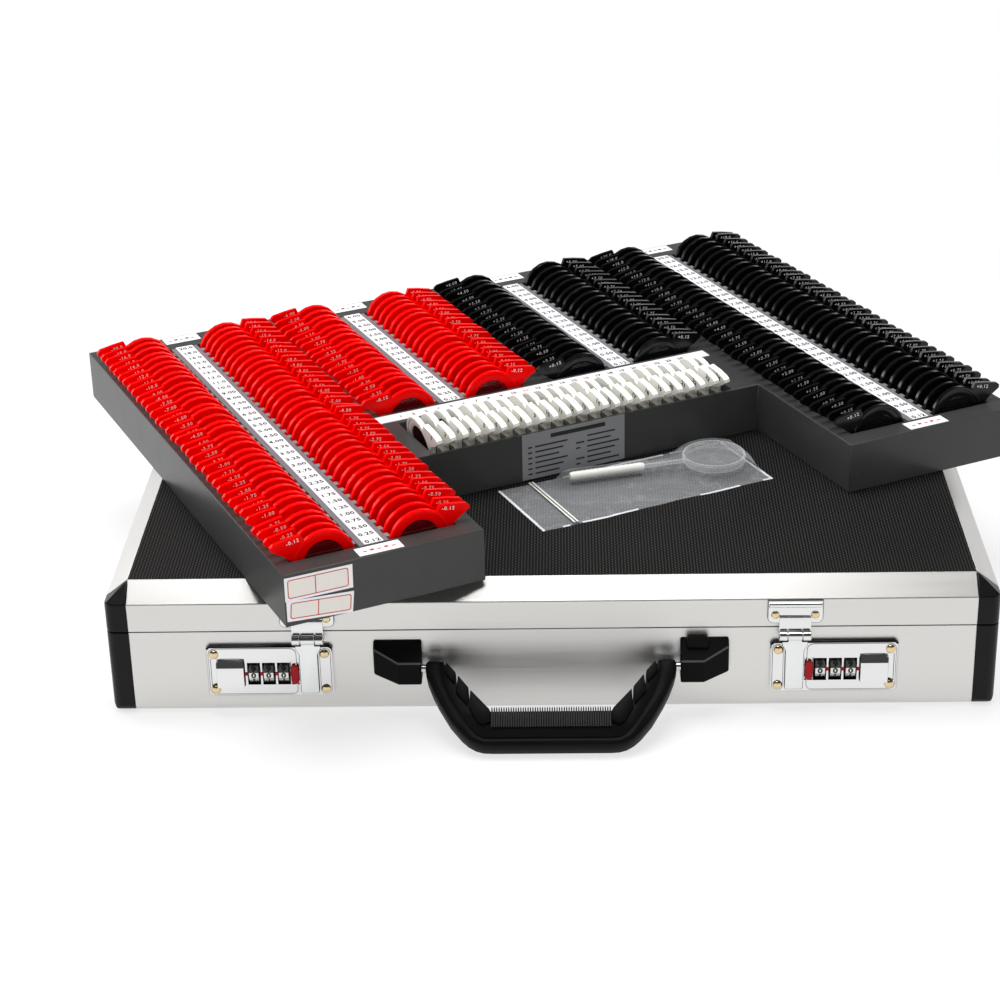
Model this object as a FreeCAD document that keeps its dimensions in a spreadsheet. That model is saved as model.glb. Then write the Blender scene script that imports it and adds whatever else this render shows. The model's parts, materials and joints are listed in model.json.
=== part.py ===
import FreeCAD
import Part
import Sketcher

import math
import os
import re

from FreeCAD import Placement, Rotation, Vector

# Trial lens case: a closed aluminium framed case with its lens tray lifted out and laid across the lid.
# X runs to the right, Y to the back, Z up. The origin is the centre of the base's resting face.

SIZES = {
    # case shell
    "case_width": 525,
    "case_depth": 397,
    "case_height": 83,
    "parting_height": 54.2,
    "seam_gap": 0.3,
    "wall": 2,
    "base_edge_radius": 6,
    "bevel_height": 72.5,
    "corner_width": 13.5,
    "corner_radius": 6,
    "panel_thickness": 3,
    "lip_width": 4.5,
    "lip_thickness": 1.5,
    # foam liners
    "liner_floor": 15,
    "liner_top": 50,
    "recess_clearance": 2,
    "lid_foam": 10.5,
    # rear hinges
    "hinge_place": 160,
    "hinge_length": 60,
    "hinge_leaf": 1.5,
    "hinge_leaf_height": 16,
    "knuckle_radius": 3,
    "knuckle_gap": 0.4,
    "pin_radius": 1.5,
    "pin_clearance": 0.08,
    "hinge_stand_off": 3.5,
    # rear feet
    "foot_place": 225,
    "foot_length": 26,
    "foot_height": 11,
    "foot_depth": 8,
    "foot_low": 7,
    "foot_draft": 12,
    # combination locks, measured from the middle of the case
    "lock_inner": 128.6,
    "lock_outer": 203.8,
    "lock_low": 12,
    "lock_high": 46,
    "lock_thickness": 3,
    "lock_corner": 2,
    "lock_bevel": 1,
    "dial_first": 158.1,
    "dial_pitch": 8.9,
    "dial_width": 7,
    "dial_radius": 7,
    "dial_level": 27.5,
    "dial_sink": 1.6,
    "dial_play": 0.3,
    "axle_radius": 1.5,
    "cheek_width": 1.6,
    "rivet_radius": 2.2,
    "rivet_height": 1.2,
    "rivet_inset_side": 4.8,
    "rivet_inset_end": 5.2,
    "slide_width": 4.3,
    "slide_height": 12.6,
    "slide_low": 20.4,
    "slide_inner": 149.3,
    "slide_travel": 2,
    "channel_depth": 1,
    "channel_play": 0.25,
    "slide_thickness": 2,
    "button_inner": 181.6,
    "button_width": 16,
    "button_low": 19.7,
    "button_height": 17.6,
    "button_thickness": 4,
    "button_bevel": 1.4,
    "button_travel": 3.5,
    # hasps and keepers
    "hasp_middle": 142.8,
    "hasp_pivot_height": 50.5,
    "hasp_stand_off": 4,
    "hasp_thickness": 1.8,
    "hasp_low": 15,
    "hasp_neck_width": 10.8,
    "hasp_shoulder_width": 15,
    "hasp_shoulder_height": 44,
    "hasp_corner": 2,
    "hasp_clearance": 0.3,
    "leaf_width": 18.8,
    "leaf_low": 52.75,
    "leaf_top": 62,
    "leaf_thickness": 1.8,
    "hasp_knuckle_width": 8.4,
    "keeper_inner": 126.7,
    "keeper_outer": 159.1,
    "keeper_low": 57.5,
    "keeper_thickness": 1.5,
    "keeper_ridge": 1.6,
    "keeper_rivet_radius": 1.8,
    "keeper_rivet_inset": 3.7,
    "keeper_rivet_level": 63,
    # carrying handle
    "bracket_inner": 76,
    "bracket_outer": 104.5,
    "bracket_low": 24,
    "bracket_high": 48.5,
    "bracket_front_height": 38,
    "bracket_depth": 12,
    "bracket_nose": 9,
    "pivot_depth": 8,
    "pivot_height": 33,
    "pivot_radius": 2.5,
    "handle_lean": 56,
    "handle_half": 73.5,
    "handle_arm": 12,
    "handle_eye": 6,
    "handle_heel": 3.5,
    "handle_thickness": 14,
    "handle_reach": 53,
    "grip_half": 39,
    "grip_depth": 24.5,
    "handle_flat": 35,
    "handle_shoulder": 4,
    "handle_bulge": 8.4,
    "arm_upper_half": 57,
    "arm_upper_reach": 10,
    "arm_lower_half": 50,
    "arm_lower_reach": 18,
    "handle_bevel": 4.6,
    "handle_rim_angle": 45,
    # tray, in its own frame from the front left corner
    "tray_gap_side": 12.9,
    "tray_gap_end": 10.2,
    "tray_width": "=case_width - 2 * tray_gap_side",
    "tray_depth": "=case_depth - 2 * tray_gap_end",
    "tray_height": 32.8,
    "tray_x": -148.6,
    "tray_y": -246.7,
    "tray_turn": 26.674,
    "wing_width": 124.5,
    "notch_depth": 110.3,
    "well_floor": 8,
    "well_left": 52.6,
    "well_right": 51,
    "well_margin": 3,
    "well_end": 20.6,
    "well_back": "=tray_depth - well_end",
    # lens columns
    "strip_first": 62.1,
    "strip_pitch": "=(tray_width - 2 * strip_first) / 3",
    "left_column": 30.5,
    "right_column": 28.6,
    "lens_radius": 19,
    "lens_thickness": 3,
    "lens_height": 27.3,
    "glass_radius": 12.2,
    "glass_sink": 0.8,
    "long_count": 35,
    "short_count": 18,
    "first_lens": 18,
    "last_lens": 24.6,
    "lens_pitch": "=(tray_depth - first_lens - last_lens) / (long_count - 1)",
    "tab_reach": 32.2,
    "tab_corner": 2,
    "tab_tip_height": 14.8,
    "tab_top_reach": 13.6,
    "tab_top_height": 19.3,
    "root_angle": 9.5,
    "foot_angle": 52,
    # crosswise accessory row
    "row_count": 24,
    "row_inset_left": 21.5,
    "row_inset_right": 24,
    "row_first": "=wing_width + row_inset_left",
    "row_last": "=tray_width - wing_width - row_inset_right",
    "row_pitch": "=(row_last - row_first) / (row_count - 1)",
    "row_set_back": 29.3,
    "row_reach_front": 19.6,
    "row_reach_back": 25.4,
    "row_middle": "=notch_depth + row_set_back",
    "row_front": "=row_middle - row_reach_front",
    "row_back": "=row_middle + row_reach_back",
    "row_margin": 5,
    "comb_width": 8,
    "comb_front": "=row_front - comb_width",
    "comb_depth": 6,
    # ribs, label rails and number strips
    "rib_thickness": 1.5,
    "rib_drop": 2.8,
    "rail_left": 9.6,
    "rail_right": 8.9,
    "rail_drop": 0.4,
    "strip_left": 6.4,
    "strip_right": 5.4,
    "strip_thickness": 0.5,
    "row_label_gap": 3,
    "row_label_width": 10,
    "row_label_inset_left": 5.5,
    "row_label_inset_right": 3.7,
    # zip bag and hand lens, in the tray's frame
    "bag_inset_left": 57.5,
    "bag_inset_right": 30.7,
    "bag_left": "=wing_width + bag_inset_left",
    "bag_right": "=tray_width - wing_width - bag_inset_right",
    "bag_front": 40,
    "bag_back": 105,
    "bag_thickness": 1.7,
    "bag_gap": 0.3,
    "bag_mouth": 21,
    "bag_zip": "=bag_left + bag_mouth",
    "bag_zip_width": 2.4,
    "hand_lens_inset": 22,
    "hand_lens_x": "=bag_right - hand_lens_inset",
    "hand_lens_y": 76.6,
    "hand_lens_turn": 170,
    "hand_rim_radius": 20.5,
    "hand_rim_width": 2,
    "hand_rim_thickness": 5.4,
    "hand_glass_thickness": 3,
    "hand_shaft_radius": 1.4,
    "hand_shaft_end": 47.5,
    "hand_rod_radius": 3,
    "hand_rod_end": 96.5,
}

doc = FreeCAD.newDocument("TrialLensCase")
sheet = doc.addObject("Spreadsheet::Sheet", "Sizes")
for row, (name, value) in enumerate(SIZES.items(), 1):
    sheet.set(f"A{row}", name)
    sheet.set(f"B{row}", str(value))
    sheet.setAlias(f"B{row}", name)
doc.recompute()

NODES = {}


# A formula written in size names becomes one that reads the sheet's cells
def bound(formula):
    return re.sub(r"[a-z][a-z_]*", lambda word: cell_or_word(word[0]), str(formula))


def cell_or_word(word):
    return "Sizes." + word if word in SIZES else word


def number(formula):
    return float(sheet.evalExpression(bound(formula)))


def bind(item, prop, formula):
    item.setExpression(prop, bound(formula))


def new_body(label):
    body = doc.addObject("PartDesign::Body", label)
    body.Label = label
    NODES[label] = body
    return body


def keep(label, item):
    item.Label = label
    NODES[label] = item
    return item


# Sketches, on the body's own XY, XZ or YZ plane, moved along its normal by the offset
def new_sketch(body, plane, offset="0"):
    sketch = body.newObject("Sketcher::SketchObject", body.Name + "_sketch")
    support = [part for part in body.Origin.OriginFeatures if part.Role == plane + "_Plane"]
    sketch.AttachmentSupport = [(support[0], "")]
    sketch.MapMode = "FlatFace"
    bind(sketch, "AttachmentOffset.Base.z", offset)
    return sketch


def fix_point(sketch, edge, end, x, y):
    for kind, formula in (("DistanceX", x), ("DistanceY", y)):
        rule = Sketcher.Constraint(kind, -1, 1, edge, end, number(formula))
        index = sketch.addConstraint(rule)
        bind(sketch, f"Constraints[{index}]", formula)


def fix_radius(sketch, edge, radius):
    index = sketch.addConstraint(Sketcher.Constraint("Radius", edge, number(radius)))
    bind(sketch, f"Constraints[{index}]", radius)


# A closed outline. A point of four values starts an arc of that radius to the next point,
# which turns left where the fourth value is 1 and right where it is -1.
def outline(sketch, points):
    places = [Vector(number(point[0]), number(point[1]), 0) for point in points]
    count = len(points)
    first = sketch.GeometryCount
    ends = []
    for k, point in enumerate(points):
        start = places[k]
        finish = places[(k + 1) % count]
        if len(point) == 2:
            sketch.addGeometry(Part.LineSegment(start, finish), False)
            ends.append((1, 2))
            continue
        radius = number(point[2])
        chord = finish - start
        left = Vector(-chord.y, chord.x, 0).normalize()
        rise = math.sqrt(max(radius ** 2 - chord.Length ** 2 / 4, 0))
        centre = (start + finish) / 2 + left * rise * point[3]
        circle = Part.Circle(centre, Vector(0, 0, 1), radius)
        turned = (start, finish) if point[3] > 0 else (finish, start)
        angles = [math.atan2(p.y - centre.y, p.x - centre.x) for p in turned]
        sketch.addGeometry(Part.ArcOfCircle(circle, *angles), False)
        ends.append((1, 2) if point[3] > 0 else (2, 1))
    for k, point in enumerate(points):
        after = (k + 1) % count
        joined = Sketcher.Constraint("Coincident", first + k, ends[k][1], first + after, ends[after][0])
        sketch.addConstraint(joined)
        fix_point(sketch, first + k, ends[k][0], point[0], point[1])
        if len(point) == 4:
            fix_radius(sketch, first + k, point[2])


def rectangle(sketch, left, low, right, high):
    outline(sketch, [(left, low), (right, low), (right, high), (left, high)])


def ring(sketch, x, y, radius):
    centre = Vector(number(x), number(y), 0)
    edge = sketch.addGeometry(Part.Circle(centre, Vector(0, 0, 1), number(radius)), False)
    fix_point(sketch, edge, 3, x, y)
    fix_radius(sketch, edge, radius)


# A regular polygon for a small round form: its corners lie on the radius,
# or its flats do where it is a bore that a round pin turns in
def polygon(sketch, x, y, radius, sides, bore=False):
    reach = f"({radius}) / cos({180 / sides}deg)" if bore else f"({radius})"
    points = []
    for k in range(sides):
        angle = f"{360 * (k + 0.5) / sides}deg"
        points.append((f"{x} + {reach} * cos({angle})", f"{y} + {reach} * sin({angle})"))
    outline(sketch, points)


def knuckle(sketch, y, z):
    polygon(sketch, y, z, "knuckle_radius", 10)
    polygon(sketch, y, z, "pin_radius + pin_clearance", 10, bore=True)


def pad(body, sketch, length, symmetric=False, back=False):
    feature = body.newObject("PartDesign::Pad", body.Name + "_pad")
    feature.Profile = sketch
    feature.SideType = "Symmetric" if symmetric else "One side"
    feature.Reversed = back
    bind(feature, "Length", length)
    doc.recompute()
    return feature


def pocket(body, sketch, length, symmetric=False, back=False):
    before = body.Shape.Volume
    feature = body.newObject("PartDesign::Pocket", body.Name + "_pocket")
    feature.Profile = sketch
    feature.SideType = "Symmetric" if symmetric else "One side"
    feature.Reversed = back
    bind(feature, "Length", length)
    doc.recompute()
    if body.Shape.Volume > before - 0.001:
        raise RuntimeError(f"{body.Label}: a pocket cuts nothing")
    return feature


def row_of(body, features, axis, pitch, count):
    pattern = body.newObject("PartDesign::LinearPattern", body.Name + "_row")
    pattern.Originals = features
    direction = [part for part in body.Origin.OriginFeatures if part.Role == axis + "_Axis"]
    pattern.Direction = (direction[0], [""])
    bind(pattern, "Length", f"({pitch}) * ({count} - 1)")
    bind(pattern, "Occurrences", count)
    body.Tip = pattern
    doc.recompute()
    return pattern


# Bevels the edges of the body's shape that the test picks
def bevel(body, size, test):
    base = body.Tip
    names = [f"Edge{k}" for k, edge in enumerate(base.Shape.Edges, 1) if test(edge)]
    feature = body.newObject("PartDesign::Chamfer", body.Name + "_bevel")
    feature.Base = (base, names)
    bind(feature, "Size", size)
    doc.recompute()


def around_far_face(body, direction):
    face = max(body.Tip.Shape.Faces, key=lambda one: one.CenterOfMass.dot(direction))
    return lambda edge: any(edge.isSame(other) for other in face.Edges)


def place(item, x, y, z, axis=Vector(0, 0, 1), turn="0"):
    item.Placement = Placement(Vector(0, 0, 0), Rotation(axis, 1))
    bind(item, "Placement.Base.x", x)
    bind(item, "Placement.Base.y", y)
    bind(item, "Placement.Base.z", z)
    bind(item, "Placement.Rotation.Angle", turn)


def box(label, low, high):
    item = doc.addObject("Part::Box", label)
    for prop, side in (("Length", 0), ("Width", 1), ("Height", 2)):
        bind(item, prop, f"({high[side]}) - ({low[side]})")
    place(item, *low)
    return keep(label, item)


# A round bar along X from one place to another
def bar(label, left, right, y, z, radius):
    item = doc.addObject("Part::Cylinder", label)
    bind(item, "Radius", radius)
    bind(item, "Height", f"({right}) - ({left})")
    place(item, left, y, z, Vector(0, 1, 0), "90")
    return item


def group(label, items):
    item = doc.addObject("Part::Compound", label)
    item.Links = items
    return keep(label, item)


def sides(low, high, sign):
    return (low, high) if sign > 0 else (f"-({high})", f"-({low})")


# Case rails: an extruded section given as insets from the outer wall and heights
BASE_SECTION = [
    ("base_edge_radius", "0"),
    ("corner_width", "0"),
    ("corner_width", "panel_thickness"),
    ("corner_width + lip_width", "panel_thickness"),
    ("corner_width + lip_width", "panel_thickness + lip_thickness"),
    ("wall", "panel_thickness + lip_thickness"),
    ("wall", "parting_height"),
    ("0", "parting_height"),
    ("0", "base_edge_radius", "base_edge_radius", 1),
]
LID_SECTION = [
    ("0", "parting_height + seam_gap"),
    ("wall", "parting_height + seam_gap"),
    ("wall", "bevel_height - wall / 2"),
    ("corner_width - wall", "case_height - panel_thickness - lip_thickness"),
    ("corner_width + lip_width", "case_height - panel_thickness - lip_thickness"),
    ("corner_width + lip_width", "case_height - panel_thickness"),
    ("corner_width", "case_height - panel_thickness"),
    ("corner_width", "case_height"),
    ("0", "bevel_height"),
]
BASE_TRIM = [
    ("0", "0"),
    ("base_edge_radius", "0", "base_edge_radius", -1),
    ("0", "base_edge_radius"),
]
LID_TRIM = [
    ("0", "bevel_height"),
    ("corner_width", "case_height"),
    ("0", "case_height"),
]


def mirrored(section, half, sign):
    points = []
    for point in section:
        moved = (f"{sign} * ({half} - ({point[0]}))", point[1])
        if len(point) == 4:
            moved += (point[2], -sign * point[3])
        points.append(moved)
    return points


def rail(label, plane, sign, section):
    across, along = ("case_depth", "case_width") if plane == "YZ" else ("case_width", "case_depth")
    body = new_body(label)
    sketch = new_sketch(body, plane)
    outline(sketch, mirrored(section, f"{across} / 2", sign))
    pad(body, sketch, f"{along} - 2 * corner_width", symmetric=True)
    return body


# The side rails' lips make way for the front and rear ones at their ends
def side_rail(label, sign, section, lip_top):
    body = rail(label, "XZ", sign, section)
    sketch = new_sketch(body, "XY", lip_top)
    left, right = sides("case_width / 2 - corner_width - lip_width", "case_width / 2 - corner_width", sign)
    for end in (-1, 1):
        low, high = sides("case_depth / 2 - corner_width - lip_width", "case_depth / 2 - corner_width", end)
        rectangle(sketch, left, low, right, high)
    pocket(body, sketch, "lip_thickness")


def corner_posts(label, low, high, trim):
    body = new_body(label)
    sketch = new_sketch(body, "XY", low)
    for x_sign in (-1, 1):
        for y_sign in (-1, 1):
            x = f"{x_sign} * (case_width / 2 - "
            y = f"{y_sign} * (case_depth / 2 - "
            outline(sketch, [
                (x + "corner_width)", y + "corner_width)"),
                (x + "0)", y + "corner_width)"),
                (x + "0)", y + "corner_radius)", "corner_radius", x_sign * y_sign),
                (x + "corner_radius)", y + "0)"),
                (x + "corner_width)", y + "0)"),
            ])
    pad(body, sketch, f"{high} - ({low})")
    for plane, half in (("YZ", "case_depth / 2"), ("XZ", "case_width / 2")):
        sketch = new_sketch(body, plane)
        for sign in (-1, 1):
            outline(sketch, mirrored(trim, half, sign))
        pocket(body, sketch, "2 * case_width", symmetric=True)
    return body


# Case base
base_front = rail("base_front_rail", "YZ", -1, BASE_SECTION)
rail("base_rear_rail", "YZ", 1, BASE_SECTION)
side_rail("base_left_rail", -1, BASE_SECTION, "panel_thickness + lip_thickness")
side_rail("base_right_rail", 1, BASE_SECTION, "panel_thickness + lip_thickness")
corner_posts("base_corners", "0", "parting_height", BASE_TRIM)
PANEL_X = "case_width / 2 - corner_width"
PANEL_Y = "case_depth / 2 - corner_width"
box("base_panel", (f"-({PANEL_X})", f"-({PANEL_Y})", "0"), (PANEL_X, PANEL_Y, "panel_thickness"))

# Windows behind the dials, through the front rail and the liner
AXLE_INNER = "dial_first - dial_width / 2 - dial_play"
AXLE_OUTER = "dial_first + 2 * dial_pitch + dial_width / 2 + dial_play"
CHEEK_INNER = f"{AXLE_INNER} - cheek_width"
CHEEK_OUTER = f"{AXLE_OUTER} + cheek_width"
OPENING_HALF = "dial_radius + 3 * dial_play"


def lock_openings(body, offset, length):
    sketch = new_sketch(body, "XZ", offset)
    for sign in (-1, 1):
        left, right = sides(f"{CHEEK_INNER} - dial_play", f"{CHEEK_OUTER} + dial_play", sign)
        rectangle(sketch, left, f"dial_level - ({OPENING_HALF})", right, f"dial_level + {OPENING_HALF}")
    pocket(body, sketch, length)


lock_openings(base_front, "case_depth / 2", "2 * wall")

# Liner of the base: fits between the corner posts, stands on the panel, recessed for the tray
base_liner = new_body("base_liner")
sketch = new_sketch(base_liner, "XY", "panel_thickness + lip_thickness")
WIDE_X = "(case_width / 2 - wall)"
WIDE_Y = "(case_depth / 2 - wall)"
outline(sketch, [
    (f"-{WIDE_X}", f"-({PANEL_Y})"), (f"-({PANEL_X})", f"-({PANEL_Y})"),
    (f"-({PANEL_X})", f"-{WIDE_Y}"), (PANEL_X, f"-{WIDE_Y}"),
    (PANEL_X, f"-({PANEL_Y})"), (WIDE_X, f"-({PANEL_Y})"),
    (WIDE_X, PANEL_Y), (PANEL_X, PANEL_Y),
    (PANEL_X, WIDE_Y), (f"-({PANEL_X})", WIDE_Y),
    (f"-({PANEL_X})", PANEL_Y), (f"-{WIDE_X}", PANEL_Y),
])
pad(base_liner, sketch, "liner_top - panel_thickness - lip_thickness")
sketch = new_sketch(base_liner, "XY", "panel_thickness")
SEAT_X = "(case_width / 2 - corner_width - lip_width)"
SEAT_Y = "(case_depth / 2 - corner_width - lip_width)"
rectangle(sketch, f"-{SEAT_X}", f"-{SEAT_Y}", SEAT_X, SEAT_Y)
pad(base_liner, sketch, "lip_thickness")
sketch = new_sketch(base_liner, "XY", "liner_top")
RECESS_X = "(tray_width / 2 + recess_clearance)"
RECESS_Y = "(tray_depth / 2 + recess_clearance)"
rectangle(sketch, f"-{RECESS_X}", f"-{RECESS_Y}", RECESS_X, RECESS_Y)
pocket(base_liner, sketch, "liner_top - liner_floor")
lock_openings(base_liner, "case_depth / 2 - wall", "dial_radius + dial_sink")

# Rear feet on the base
rear_feet = new_body("rear_feet")
sketch = new_sketch(rear_feet, "XZ", "-case_depth / 2")
for sign in (-1, 1):
    left, right = sides("foot_place - foot_length / 2", "foot_place + foot_length / 2", sign)
    for low in ("foot_low", "parting_height - foot_low + base_edge_radius - foot_height"):
        rectangle(sketch, left, low, right, f"{low} + foot_height")
feet = pad(rear_feet, sketch, "foot_depth", back=True)
bind(feet, "TaperAngle", "-foot_draft")

# Rear hinges: three knuckles each, the middle one on the lid
HINGE_Y = "case_depth / 2 + hinge_stand_off"
HINGE_Z = "parting_height + seam_gap / 2"
HINGE_LOW = "hinge_place - hinge_length / 2"
HINGE_HIGH = "hinge_place + hinge_length / 2"
THIRD = "(hinge_length - 2 * knuckle_gap) / 6"
SWEEP = "knuckle_radius + knuckle_gap"


def hinge_leaves(label, low, high):
    body = new_body(label)
    for sign in (-1, 1):
        left, right = sides(HINGE_LOW, HINGE_HIGH, sign)
        sketch = new_sketch(body, "YZ", left)
        rectangle(sketch, "case_depth / 2", low, "case_depth / 2 + hinge_leaf", high)
        pad(body, sketch, "hinge_length")
        sketch = new_sketch(body, "YZ", left)
        knuckle(sketch, HINGE_Y, HINGE_Z)
        pad(body, sketch, "hinge_length")
    return body


base_leaves = hinge_leaves("base_hinge_leaves", "parting_height - hinge_leaf_height", "parting_height")
sketch = new_sketch(base_leaves, "XZ", "-case_depth / 2")
for sign in (-1, 1):
    half = f"({THIRD} + knuckle_gap)"
    left, right = sides(f"hinge_place - {half}", f"hinge_place + {half}", sign)
    rectangle(sketch, left, f"{HINGE_Z} - ({SWEEP})", right, f"{HINGE_Z} + {SWEEP}")
pocket(base_leaves, sketch, "hinge_stand_off + 2 * knuckle_radius")

lid_leaves = hinge_leaves("lid_hinge_leaves", "parting_height + seam_gap",
                          "parting_height + hinge_leaf_height")
sketch = new_sketch(lid_leaves, "XZ", "-case_depth / 2")
for sign in (-1, 1):
    for low, high in ((HINGE_LOW, f"hinge_place - {THIRD}"), (f"hinge_place + {THIRD}", HINGE_HIGH)):
        left, right = sides(low, high, sign)
        rectangle(sketch, left, f"{HINGE_Z} - ({SWEEP})", right, f"{HINGE_Z} + {SWEEP}")
pocket(lid_leaves, sketch, "hinge_stand_off + 2 * knuckle_radius")

pins = []
for sign in (-1, 1):
    left, right = sides(HINGE_LOW, HINGE_HIGH, sign)
    pins.append(bar("hinge_pin", left, right, HINGE_Y, HINGE_Z, "pin_radius"))
group("hinge_pins", pins)

# Lid
rail("lid_front_rail", "YZ", -1, LID_SECTION)
rail("lid_rear_rail", "YZ", 1, LID_SECTION)
side_rail("lid_left_rail", -1, LID_SECTION, "case_height - panel_thickness")
side_rail("lid_right_rail", 1, LID_SECTION, "case_height - panel_thickness")
corner_posts("lid_corners", "parting_height + seam_gap", "case_height", LID_TRIM)
LID_PANEL = "case_height - panel_thickness"
box("lid_panel", (f"-({PANEL_X})", f"-({PANEL_Y})", LID_PANEL), (PANEL_X, PANEL_Y, "case_height"))
lid_liner = new_body("lid_liner")
sketch = new_sketch(lid_liner, "XY", f"{LID_PANEL} - lip_thickness")
rectangle(sketch, f"-({PANEL_X})", f"-({PANEL_Y})", PANEL_X, PANEL_Y)
pad(lid_liner, sketch, "lid_foam", back=True)
sketch = new_sketch(lid_liner, "XY", LID_PANEL)
rectangle(sketch, f"-{SEAT_X}", f"-{SEAT_Y}", SEAT_X, SEAT_Y)
pad(lid_liner, sketch, "lip_thickness", back=True)

# Combination locks
WALL_Y = "case_depth / 2"
LOCK_Y = "case_depth / 2 + lock_thickness"
DIAL_Y = "-(case_depth / 2 - dial_sink)"
BUTTON_Y = "case_depth / 2 + lock_thickness - channel_depth"


def lock_plate(label, sign):
    body = new_body(label)
    sketch = new_sketch(body, "XZ", WALL_Y)
    left, right = sides("lock_inner", "lock_outer", sign)
    outline(sketch, [
        (f"{left} + lock_corner", "lock_low"), (f"{right} - lock_corner", "lock_low"),
        (right, "lock_low + lock_corner"), (right, "lock_high - lock_corner"),
        (f"{right} - lock_corner", "lock_high"), (f"{left} + lock_corner", "lock_high"),
        (left, "lock_high - lock_corner"), (left, "lock_low + lock_corner"),
    ])
    pad(body, sketch, "lock_thickness")
    bevel(body, "lock_bevel", around_far_face(body, Vector(0, -1, 0)))
    # cheeks that carry the axle behind the dials
    sketch = new_sketch(body, "XZ", WALL_Y)
    for low, high in ((CHEEK_INNER, AXLE_INNER), (AXLE_OUTER, CHEEK_OUTER)):
        left, right = sides(low, high, sign)
        rectangle(sketch, left, "dial_level - 2 * axle_radius", right, "dial_level + 2 * axle_radius")
    pad(body, sketch, "dial_sink + 2 * axle_radius", back=True)
    # dial windows
    sketch = new_sketch(body, "XZ", LOCK_Y)
    for k in range(3):
        middle = f"dial_first + {k} * dial_pitch"
        half = "(dial_width / 2 + dial_play)"
        left, right = sides(f"{middle} - {half}", f"{middle} + {half}", sign)
        reach = "(dial_radius + dial_play)"
        rectangle(sketch, left, f"dial_level - {reach}", right, f"dial_level + {reach}")
    pocket(body, sketch, "lock_thickness")
    # channels of the setting slide and the thumb button
    sketch = new_sketch(body, "XZ", LOCK_Y)
    left, right = sides("slide_inner - channel_play", "slide_inner + slide_width + channel_play", sign)
    rectangle(sketch, left, "slide_low - channel_play",
              right, "slide_low + slide_height + slide_travel + channel_play")
    left, right = sides("button_inner - channel_play",
                        "button_inner + button_width + button_travel + channel_play", sign)
    rectangle(sketch, left, "button_low - channel_play", right, "button_low + button_height + channel_play")
    pocket(body, sketch, "channel_depth")
    return body


def setting_slide(label, sign):
    body = new_body(label)
    sketch = new_sketch(body, "XZ", f"{BUTTON_Y} + channel_play")
    left, right = sides("slide_inner", "slide_inner + slide_width", sign)
    rectangle(sketch, left, "slide_low", right, "slide_low + slide_height")
    pad(body, sketch, "slide_thickness")
    bevel(body, "channel_play * 2", around_far_face(body, Vector(0, -1, 0)))


def lock_button(label, sign):
    body = new_body(label)
    sketch = new_sketch(body, "XZ", f"{BUTTON_Y} + channel_play")
    left, right = sides("button_inner", "button_inner + button_width", sign)
    rectangle(sketch, left, "button_low", right, "button_low + button_height")
    pad(body, sketch, "button_thickness")
    bevel(body, "button_bevel", around_far_face(body, Vector(0, -1, 0)))


# A ten sided number wheel on its axle
def dial(label, sign, k):
    left, right = sides(f"dial_first + {k} * dial_pitch - dial_width / 2",
                        f"dial_first + {k} * dial_pitch + dial_width / 2", sign)
    wheel = doc.addObject("Part::Prism", "wheel")
    wheel.Polygon = 10
    bind(wheel, "Circumradius", "dial_radius")
    bind(wheel, "Height", "dial_width")
    place(wheel, left, DIAL_Y, "dial_level", Vector(0, 1, 0), "90")
    bore = doc.addObject("Part::Prism", "bore")
    bore.Polygon = 10
    bind(bore, "Circumradius", "(axle_radius + pin_clearance) / cos(18deg)")
    bind(bore, "Height", "dial_width + 2")
    place(bore, f"{left} - 1", DIAL_Y, "dial_level", Vector(0, 1, 0), "90")
    item = doc.addObject("Part::Cut", label)
    item.Base = wheel
    item.Tool = bore
    keep(label, item)


# Low eight sided heads stand for the riveted heads on a plate
def rivets(label, places, face, radius):
    heads = []
    for x, z in places:
        head = doc.addObject("Part::Prism", "head")
        head.Polygon = 8
        bind(head, "Circumradius", radius)
        bind(head, "Height", "rivet_height")
        place(head, x, f"-({face})", z, Vector(1, 0, 0), "90")
        heads.append(head)
    group(label, heads)


lock_places = []
keeper_places = []
axles = []
for sign, side in ((-1, "left"), (1, "right")):
    lock_plate(f"lock_plate_{side}", sign)
    setting_slide(f"setting_slide_{side}", sign)
    lock_button(f"lock_button_{side}", sign)
    for k in range(3):
        dial(f"dial_{side}_{k + 1}", sign, k)
    left, right = sides(AXLE_INNER, AXLE_OUTER, sign)
    axles.append(bar("axle", left, right, DIAL_Y, "dial_level", "axle_radius"))
    for x in ("lock_inner + rivet_inset_side", "lock_outer - rivet_inset_side"):
        for z in ("lock_low + rivet_inset_end", "lock_high - rivet_inset_end"):
            lock_places.append((f"{sign} * ({x})", z))
    for x in ("keeper_inner + keeper_rivet_inset", "keeper_outer - keeper_rivet_inset"):
        keeper_places.append((f"{sign} * ({x})", "keeper_rivet_level"))
group("lock_axles", axles)
rivets("lock_rivets", lock_places, LOCK_Y, "rivet_radius")
rivets("keeper_rivets", keeper_places, "case_depth / 2 + keeper_thickness", "keeper_rivet_radius")

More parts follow.
